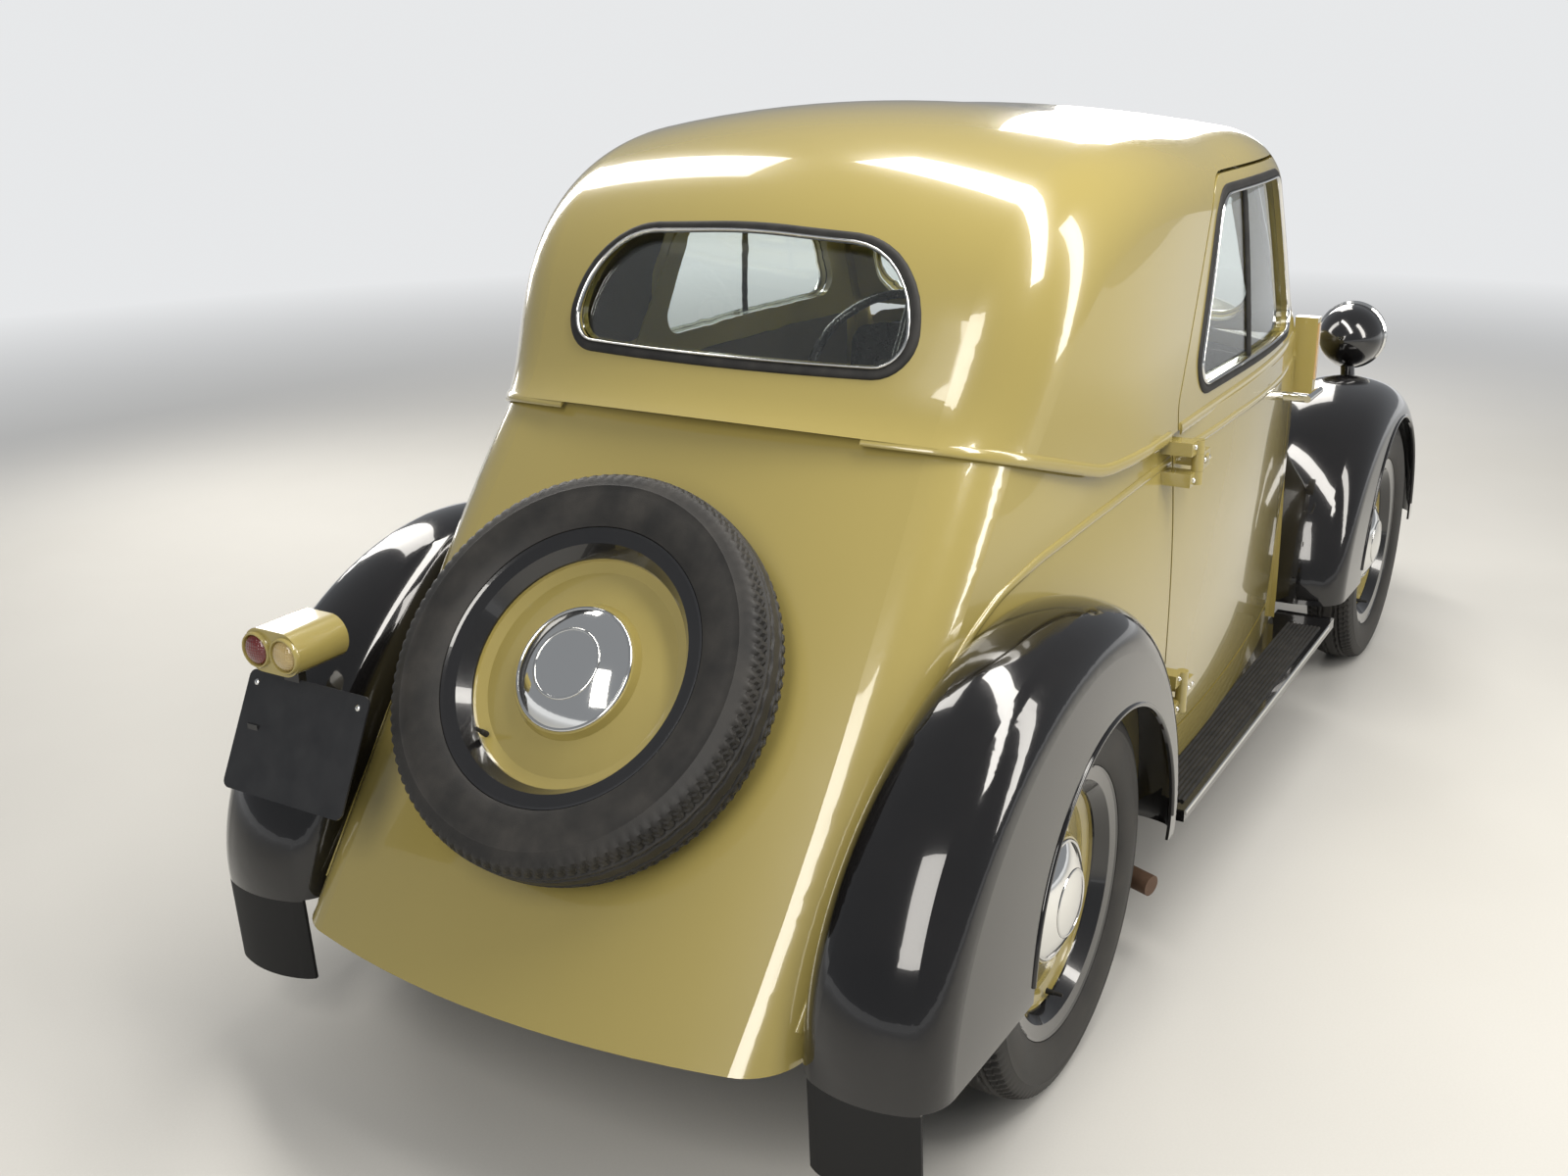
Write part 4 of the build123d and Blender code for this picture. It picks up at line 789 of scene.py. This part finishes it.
plate_black = Finish("plate_black", Coat_Weight=0.4)
scuffs = plate_black.noise(25, 5)
plate_black.vary("Base Color", plate_black.blend(scuffs, (0.006, 0.006, 0.007, 1), (0.022, 0.022, 0.023, 1)))
plate_black.vary("Roughness", scuffs * 0.25 + 0.25)
plate_black.bump(scuffs, 0.0003, 0.3)
plate_black.dress("number_plate")
PLATE_AT, PLATE_LEAN = (-1.535 + SHIFT, 0.386, 0.545), math.radians(27)
plate_out = np.array([-math.cos(PLATE_LEAN), 0, math.sin(PLATE_LEAN)])
plate_up = np.array([math.sin(PLATE_LEAN), 0, math.cos(PLATE_LEAN)])
screw_row = np.array(PLATE_AT) + plate_out * 0.003 + plate_up * 0.070
make_piece("plate_screws", [
    turned(SCREW, screw_row + (0, side * 0.100, 0), plate_out, 16) for side in (1, -1)], bright, "car_body")

# The headlamps: black enamelled shells on stalks, a plated rim clipped round a
# ribbed lens, whose glass is picked out in the shell's own finish.
LAMP_X, LAMP_Y, LAMP_Z = 1.205, 0.450, 0.752
lamp_shell = Finish("lamp_shell_and_lens", Coat_Weight=1.0, Coat_Roughness=0.02)
front = lamp_shell.axis("X") > LAMP_X + 0.0265 + SHIFT
grain = lamp_shell.noise(6, 4)
lamp_shell.vary("Base Color", lamp_shell.blend(
    front, lamp_shell.blend(grain, *GLOSS_BLACKS), (0.55, 0.58, 0.58, 1)))
lamp_shell.vary("Metallic", front * 0.75)
lamp_shell.vary("Roughness", grain * 0.08 + front * 0.06 + 0.10)
lamp_shell.bump((lamp_shell.axis("Y") * 700).sine() * front, 0.0010, 0.6)
lamp_shell.dress("headlamp_left", "headlamp_right")
LAMP_RIM = [(0.010, 0.0795), (0.014, 0.0835), (0.024, 0.0840), (0.031, 0.0805), (0.0330, 0.0765), (0.0300, 0.0735),
            (0.0268, 0.0740), (0.0262, 0.0790)]
for side, word in SIDES:
    ring = turned(LAMP_RIM + LAMP_RIM[:1], (LAMP_X + SHIFT, side * LAMP_Y, LAMP_Z), (1, 0, 0), 72)
    make_piece("headlamp_rim_" + word, [ring], bright, "car_body")

# The grille's plated frame, set round the opening in the nose of the bonnet
# and lifting with it.
GRILLE = [
    (-0.062, 0.440, 0.030), (0.062, 0.440, 0.030), (0.118, 0.620, 0.060), (0.074, 0.775, 0.040),
    (-0.074, 0.775, 0.040), (-0.118, 0.620, 0.060),
]
line = spread(grown(round_outline(GRILLE), 0.006), 0.008, True)
starts = np.stack([np.full(len(line), 2.0), line[:, 0], line[:, 1]], 1)
points, out = laid(panels("bonnet"), starts, (-1, 0, 0), True)
make_piece("grille_frame", [carried(points, out, round_section(0.0055, 0.0045), True)], bright, "bonnet")

# Under the car: a black painted frame, axles, steering and springs with road
# dust on them, a rusted exhaust, and the engine as one cast block.
underside = Finish("dusty_chassis_black", Specular_IOR_Level=0.4)
dirt = underside.noise(9, 6, 0.65)
underside.vary("Base Color", underside.blend(dirt * dirt, (0.012, 0.012, 0.012, 1), (0.085, 0.072, 0.055, 1)))
underside.vary("Roughness", dirt * 0.4 + 0.35)
underside.bump(underside.noise(160, 4), 0.0008, 0.4)
underside.dress("chassis_frame", "front_axle", "rear_axle", "knuckle_left", "knuckle_right")
rusted = Finish("rusted_exhaust", Specular_IOR_Level=0.4)
rust = rusted.noise(22, 6, 0.7)
rusted.vary("Base Color", rusted.blend(rust, (0.055, 0.026, 0.014, 1), (0.150, 0.090, 0.055, 1)))
rusted.vary("Roughness", rust * 0.3 + 0.55)
rusted.bump(rusted.noise(240, 5), 0.0008, 0.6)
rusted.dress("exhaust")
casting = Finish("cast_iron_engine", Metallic=0.6)
casting.vary("Base Color", casting.blend(casting.noise(14, 5), (0.09, 0.09, 0.09, 1), (0.20, 0.19, 0.18, 1)))
casting.vary("Roughness", casting.noise(40, 4) * 0.3 + 0.4)
casting.bump(casting.noise(320, 4), 0.0006, 0.7)
casting.dress("engine")

# The cabin's lining: drab cloth stretched over the inside of the roof and the
# quarters, and a sheet of the same dark cloth over the inside of the tail as
# painted shade over its body-colour panels, cut back round the doors, rear
# window and wheel housings, with a padded card on each door.
DOOR = [(-0.500, 0.330, 0.040), (0.335, 0.330, 0.030), (0.335, 0.895, 0.120), (0.160, 1.266, 0.045),
        (-0.290, 1.266, 0.110), (-0.505, 0.925, 0.060)]
CABIN_X, BELT_Z, SHELF_TOP = -0.45, 0.95, 0.449
# A wheel housing's x, z and radius
HOUSING = (-1.000, 0.292, 0.345)
lining = Finish("drab_cloth_lining_and_tail_shade", Specular_IOR_Level=0.15, Roughness=0.9)
faded = lining.noise(4, 4)
lining.vary("Base Color", lining.blend(faded, (0.105, 0.092, 0.066, 1), (0.070, 0.060, 0.042, 1)))
lining.bump((lining.axis("X") * 2400).sine() + (lining.axis("Z") * 2400).sine() + (lining.axis("Y") * 2400).sine(),
            0.0006, 0.5)


def blanket(tree, spots, aims, depth, thick):
    """A sheet that lies depth inside the panels met by a grid of rays; a ray lost in an opening takes its
    reach from its neighbours."""
    hits = cast(tree, spots, aims)
    reach = np.array([np.nan if h[3] is None else h[3] for h in hits]).reshape(spots.shape[:2])
    for row in reach:
        met = np.flatnonzero(~np.isnan(row))
        row[:] = np.interp(np.arange(len(row)), met, row[met])
    reach = eased(eased(reach, 3).T, 3).T[..., None]
    return two_skins(spots + aims * (reach - depth), spots + aims * (reach - depth - thick))


def prism_cutter(line, push):
    """A closed prism of a loop of points carried along push."""
    mesh = bpy.data.meshes.new("cutter")
    count = len(line)
    k = np.arange(count)
    sides = np.stack([k, (k + 1) % count, (k + 1) % count + count, k + count], 1).tolist()
    mesh.from_pydata(np.concatenate([line, line + push]).tolist(), [],
                     sides + [k[::-1].tolist(), (k + count).tolist()])
    made = bmesh.new()
    made.from_mesh(mesh)
    bmesh.ops.recalc_face_normals(made, faces=made.faces)
    made.to_mesh(mesh)
    made.free()
    return bpy.data.objects.new("cutter", mesh)


def carve(piece, *cutters):
    """The piece with the cutters taken away."""
    for cutter in cutters:
        bpy.context.scene.collection.objects.link(cutter)
        cut = piece.modifiers.new("cut", "BOOLEAN")
        cut.operation, cut.solver, cut.object = "DIFFERENCE", "EXACT", cutter
    bpy.context.view_layer.update()
    graph = bpy.context.evaluated_depsgraph_get()
    piece.data = bpy.data.meshes.new_from_object(piece.evaluated_get(graph))
    piece.modifiers.clear()
    piece.data.set_sharp_from_angle(angle=math.radians(40))
    for cutter in cutters:
        bpy.data.objects.remove(cutter)


door_line = grown(spread(round_outline(DOOR), 0.01, True), 0.008)
door_line = np.stack([door_line[:, 0] + SHIFT, np.full(len(door_line), -0.7), door_line[:, 1]], 1)
glass_line = grown(spread(round_outline(REAR_WINDOW), 0.01, True), 0.008)
glass_line = np.stack([np.full(len(glass_line), -1.6), glass_line[:, 0], glass_line[:, 1]], 1)
turns = np.linspace(0, 2 * math.pi, 72, endpoint=False)[:, None]
drum = np.array([HOUSING[0] + SHIFT, 0, HOUSING[1]]) + HOUSING[2] * np.concatenate(
    [np.cos(turns), 0 * turns, np.sin(turns)], 1)
shells = panels("roof_shell", "tub_shell")
tilt = np.radians(np.concatenate([np.linspace(96, 0, 40), np.zeros(24)]))[:, None]
spine = np.concatenate([np.full(40, CABIN_X), np.linspace(CABIN_X, 0.135, 25)[1:]]) + SHIFT
fan = np.radians(np.linspace(3, 177, 90))[None, :]
aims = np.stack([-np.sin(tilt) * np.sin(fan), np.cos(fan) + 0 * tilt, np.cos(tilt) * np.sin(fan)], -1)
spots = np.stack(np.broadcast_arrays(spine[:, None], 0 * fan, BELT_Z + 0 * fan), -1)
headlining = make_piece(
    "headlining", [blanket(shells, spots, aims, 0.003, 0.004)], lining, "car_body")
carve(headlining, prism_cutter(door_line, (0, 1.4, 0)), prism_cutter(glass_line, (0.9, 0, 0)))
# The tail's inside: a sheet of the dark lining cloth laid over its body-colour panels, painted shade for the dim
# space behind the seats.
fan = np.radians(np.linspace(93, 267, 90))[None, :]
height = np.linspace(0.900, SHELF_TOP, 16)[:, None]
aims = np.stack(np.broadcast_arrays(np.cos(fan), np.sin(fan), 0 * height), -1)
spots = np.stack(np.broadcast_arrays(CABIN_X + SHIFT + 0 * fan, 0 * fan, height), -1)
tail_painted_shade_lining = make_piece(
    "tail_painted_shade_lining", [blanket(shells, spots, aims, 0.003, 0.003)], lining, "car_body")
carve(tail_painted_shade_lining, prism_cutter(door_line, (0, 1.4, 0)), prism_cutter(drum + (0, 0.30, 0), (0, 0.4, 0)),
      prism_cutter(drum - (0, 0.70, 0), (0, 0.4, 0)))

card_u, card_v = np.sin(np.linspace(-1, 1, 40) * math.pi / 2), np.sin(np.linspace(-1, 1, 30) * math.pi / 2)
for side, word in SIDES:
    U, V = np.meshgrid(card_u, card_v, indexing="ij")
    spots = np.stack([-0.085 + 0.385 * U + SHIFT, 0 * U, 0.617 + 0.262 * V], -1)
    aims = np.broadcast_to(np.array([0, side, 0.0]), spots.shape)
    flat = np.array([h[0] for h in cast(panels("door_" + word), spots, aims)]).reshape(spots.shape)
    bulge = 0.0085 * ((1 - np.abs(U)**12) * (1 - np.abs(V)**12))**0.4 + 0.0006
    bulge -= 0.004 * np.exp(-((V - 0.42) / 0.02)**2) * (np.abs(U) < 0.9)
    upper, lower = flat - aims * bulge[..., None], flat + aims * 0.0005
    make_piece("door_card_" + word, [two_skins(upper, lower)], lining, "door_" + word)
    base = upper[4, 25] - aims[0, 0] * 0.003
    lever = [turned([(-0.004, 0), (-0.004, 0.020), (0.006, 0.018), (0.010, 0.009), (0.022, 0.008), (0.022, 0)],
                    base, (0, -side, 0), 24),
             carried(spread([base + (0, -side * 0.018, 0), base + (0.050, -side * 0.026, -0.004),
                             base + (0.095, -side * 0.020, -0.010)], 0.006), (0, 0, 1), rod_section(0.0055))]
    make_piece("inner_handle_" + word, lever, bright, "door_" + word)

# The two seats: channelled brown leather cushions stuffed with hair, on bent
# black tubes bolted to the floor. They are formed as crowned pads, with
# rounded edges and puffed channels.
SEAT_Y, SEAT_HALF = 0.225, 0.190
leather = Finish("brown_leather", Specular_IOR_Level=0.5)
creases = leather.noise(30, 6, 0.6)
leather.vary("Base Color", leather.blend(
    creases * leather.noise(3, 2) * 1.6, (0.085, 0.036, 0.018, 1), (0.030, 0.012, 0.007, 1)))
leather.vary("Roughness", creases * 0.25 + 0.30)
leather.bump(leather.noise(260, 5) + creases, 0.0010, 0.6)
enamel = Finish("black_tube_enamel", Coat_Weight=0.6)
enamel.vary("Base Color", enamel.blend(enamel.noise(12, 3), (0.006, 0.006, 0.006, 1), (0.020, 0.019, 0.018, 1)))
enamel.vary("Roughness", enamel.noise(50, 3) * 0.2 + 0.22)


def pad(centre, along, across, half, channels, puff):
    """A stuffed pad: height = half thickness * ((1 - |u|^8)(1 - |v|^8))^0.4 on both faces, with the upper one
    crowned and puffed up between channels by |sin|^0.6."""
    u = np.sin(np.linspace(-1, 1, 61) * math.pi / 2)[:, None]
    v = np.sin(np.linspace(-1, 1, 81) * math.pi / 2)[None, :]
    edge = ((1 - np.abs(u)**8) * (1 - np.abs(v)**8))**0.4
    inside = np.clip((0.88 - np.abs(u)) * 9, 0, 1) * np.clip((0.90 - np.abs(v)) * 14, 0, 1)
    flute = np.abs(np.sin(np.clip((v + 0.90) / 1.80, 0, 1) * channels * math.pi))**0.6
    top = edge * (half[2] + puff * (0.35 * (1 - u * u) * (1 - v * v) + (flute - 1) * inside + 0.6))
    foot = -edge * half[2]
    normal = np.cross(along, across)
    place = (np.asarray(centre) + (u * half[0] * (1 - 0.05 * v * v))[..., None] * along
             + (v * half[1] * (1 - 0.04 * u * u))[..., None] * across)
    return two_skins(place + top[..., None] * normal, place + foot[..., None] * normal)


cushion_along = unit(np.array([1.0, 0, 0.045]))
back_along = unit(np.array([-0.327, 0, 0.945]))
for side, word in SIDES:
    y = side * SEAT_Y
    cushion = make_piece("seat_cushion_" + word, [
        pad((-0.196, y, 0.440), cushion_along, np.array([0, 1.0, 0]), (0.226, SEAT_HALF, 0.045), 5, 0.014)],
        leather, "car_body", 60)
    backrest = make_piece("seat_back_" + word, [
        pad((-0.512, y, 0.706), back_along, np.array([0, -1.0, 0]), (0.236, SEAT_HALF, 0.036), 5, 0.014)],
        leather, "car_body", 60)
    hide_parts("seat_" + word)
    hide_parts("seat_" + word)
    bars = []
    for edge in (-0.150, 0.150):
        bend = np.array([(-0.020, 0.276), (-0.020, 0.375), (-0.050, 0.386), (-0.420, 0.378), (-0.468, 0.420),
                         (-0.560, 0.690), (-0.618, 0.860)])
        line = np.stack([bend[:, 0], np.full(len(bend), y + edge), bend[:, 1]], 1)
        bars.append(carried(eased(spread(line, 0.012), 6), (0, 1, 0), rod_section(0.010)))
        foot = np.array([(-0.400, y + edge, 0.276), (-0.400, y + edge, 0.380)])
        bars.append(carried(spread(foot, 0.02), (0, 1, 0), rod_section(0.010)))
        for x in (-0.020, -0.400):
            bars.append(turned([(-0.001, 0), (-0.001, 0.022), (0.004, 0.022), (0.004, 0)], (x, y + edge, 0.2755),
                               (0, 0, 1), 20))
    for x, z in ((-0.030, 0.384), (-0.420, 0.378), (-0.600, 0.810)):
        bars.append(carried(spread([(x, y - 0.150, z), (x, y + 0.150, z)], 0.03), (0, 0, 1), rod_section(0.008)))
    make_piece("seat_tubes_" + word, bars, enamel, "car_body")

# Controls and floor: black bakelite wheel, lever and dash with plated dials,
# rubber mats over the footwells, and a painted pan with carpet-dark wear.
bakelite = Finish("black_bakelite", Coat_Weight=0.5)
mottle = bakelite.noise(45, 4)
bakelite.vary("Base Color", bakelite.blend(mottle, (0.007, 0.006, 0.006, 1), (0.024, 0.021, 0.019, 1)))
bakelite.vary("Roughness", mottle * 0.2 + 0.18)
bakelite.dress("steering_wheel", "steering_column", "gear_lever", "pedals", "dashboard")
floor_black = Finish("worn_floor_black", Specular_IOR_Level=0.3)
wear = floor_black.noise(8, 6, 0.65)
floor_black.vary("Base Color", floor_black.blend(wear, (0.012, 0.011, 0.010, 1), (0.052, 0.044, 0.034, 1)))
floor_black.vary("Roughness", wear * 0.3 + 0.55)
floor_black.bump(floor_black.noise(300, 4), 0.0010, 0.5)
floor_black.dress("floor_pan")

dial_white = Finish("ivory_dial", Roughness=0.3, Coat_Weight=1.0)
dial_white.vary("Base Color", dial_white.blend(dial_white.noise(80, 3), (0.60, 0.55, 0.42, 1), (0.48, 0.43, 0.31, 1)))
DASH_FACE, DIAL_Z = 0.300 + SHIFT, 0.803
for name, y, radius in (("speed_dial", 0.238, 0.046), ("fuel_dial", 0.060, 0.030), ("charge_dial", -0.020, 0.030)):
    at = (DASH_FACE, y, DIAL_Z)
    make_piece(name, [turned([(-0.001, 0), (-0.001, radius), (0.002, radius), (0.0025, 0)], at, (-1, 0, 0), 48)],
               dial_white, "car_body")
    ring = [(-0.001, radius - 0.002), (-0.001, radius + 0.005), (0.004, radius + 0.004), (0.007, radius),
            (0.005, radius - 0.002), (-0.001, radius - 0.002)]
    make_piece(name + "_rim", [turned(ring, at, (-1, 0, 0), 48)], bright, "car_body")
    hand = np.array([(0, 0, -0.25), (0, -0.35, 0.65)]) * radius + (DASH_FACE - 0.0045, y, DIAL_Z)
    make_piece(name + "_hand", [carried(spread(hand, 0.01), (-1, 0, 0), round_section(0.0014, 0.0010))], enamel,
               "car_body")
KNOB = [(-0.002, 0), (-0.002, 0.005), (0.014, 0.004), (0.016, 0.0105), (0.024, 0.0115), (0.028, 0.008), (0.029, 0)]
knobs = [turned(KNOB, (DASH_FACE, y, DIAL_Z), (-1, 0, 0), 20) for y in (-0.085, -0.120, -0.155)]
make_piece("dash_knobs", knobs, bakelite, "car_body")
for side, word in SIDES:
    make_piece("floor_mat_" + word, [ribbed_mat(
        np.linspace(0.03, 0.50, 30) + SHIFT, np.linspace(0.100, 0.400, 16 * 6 + 1) * side, 0.2822, 16)],
        rubber, "car_body", 60)
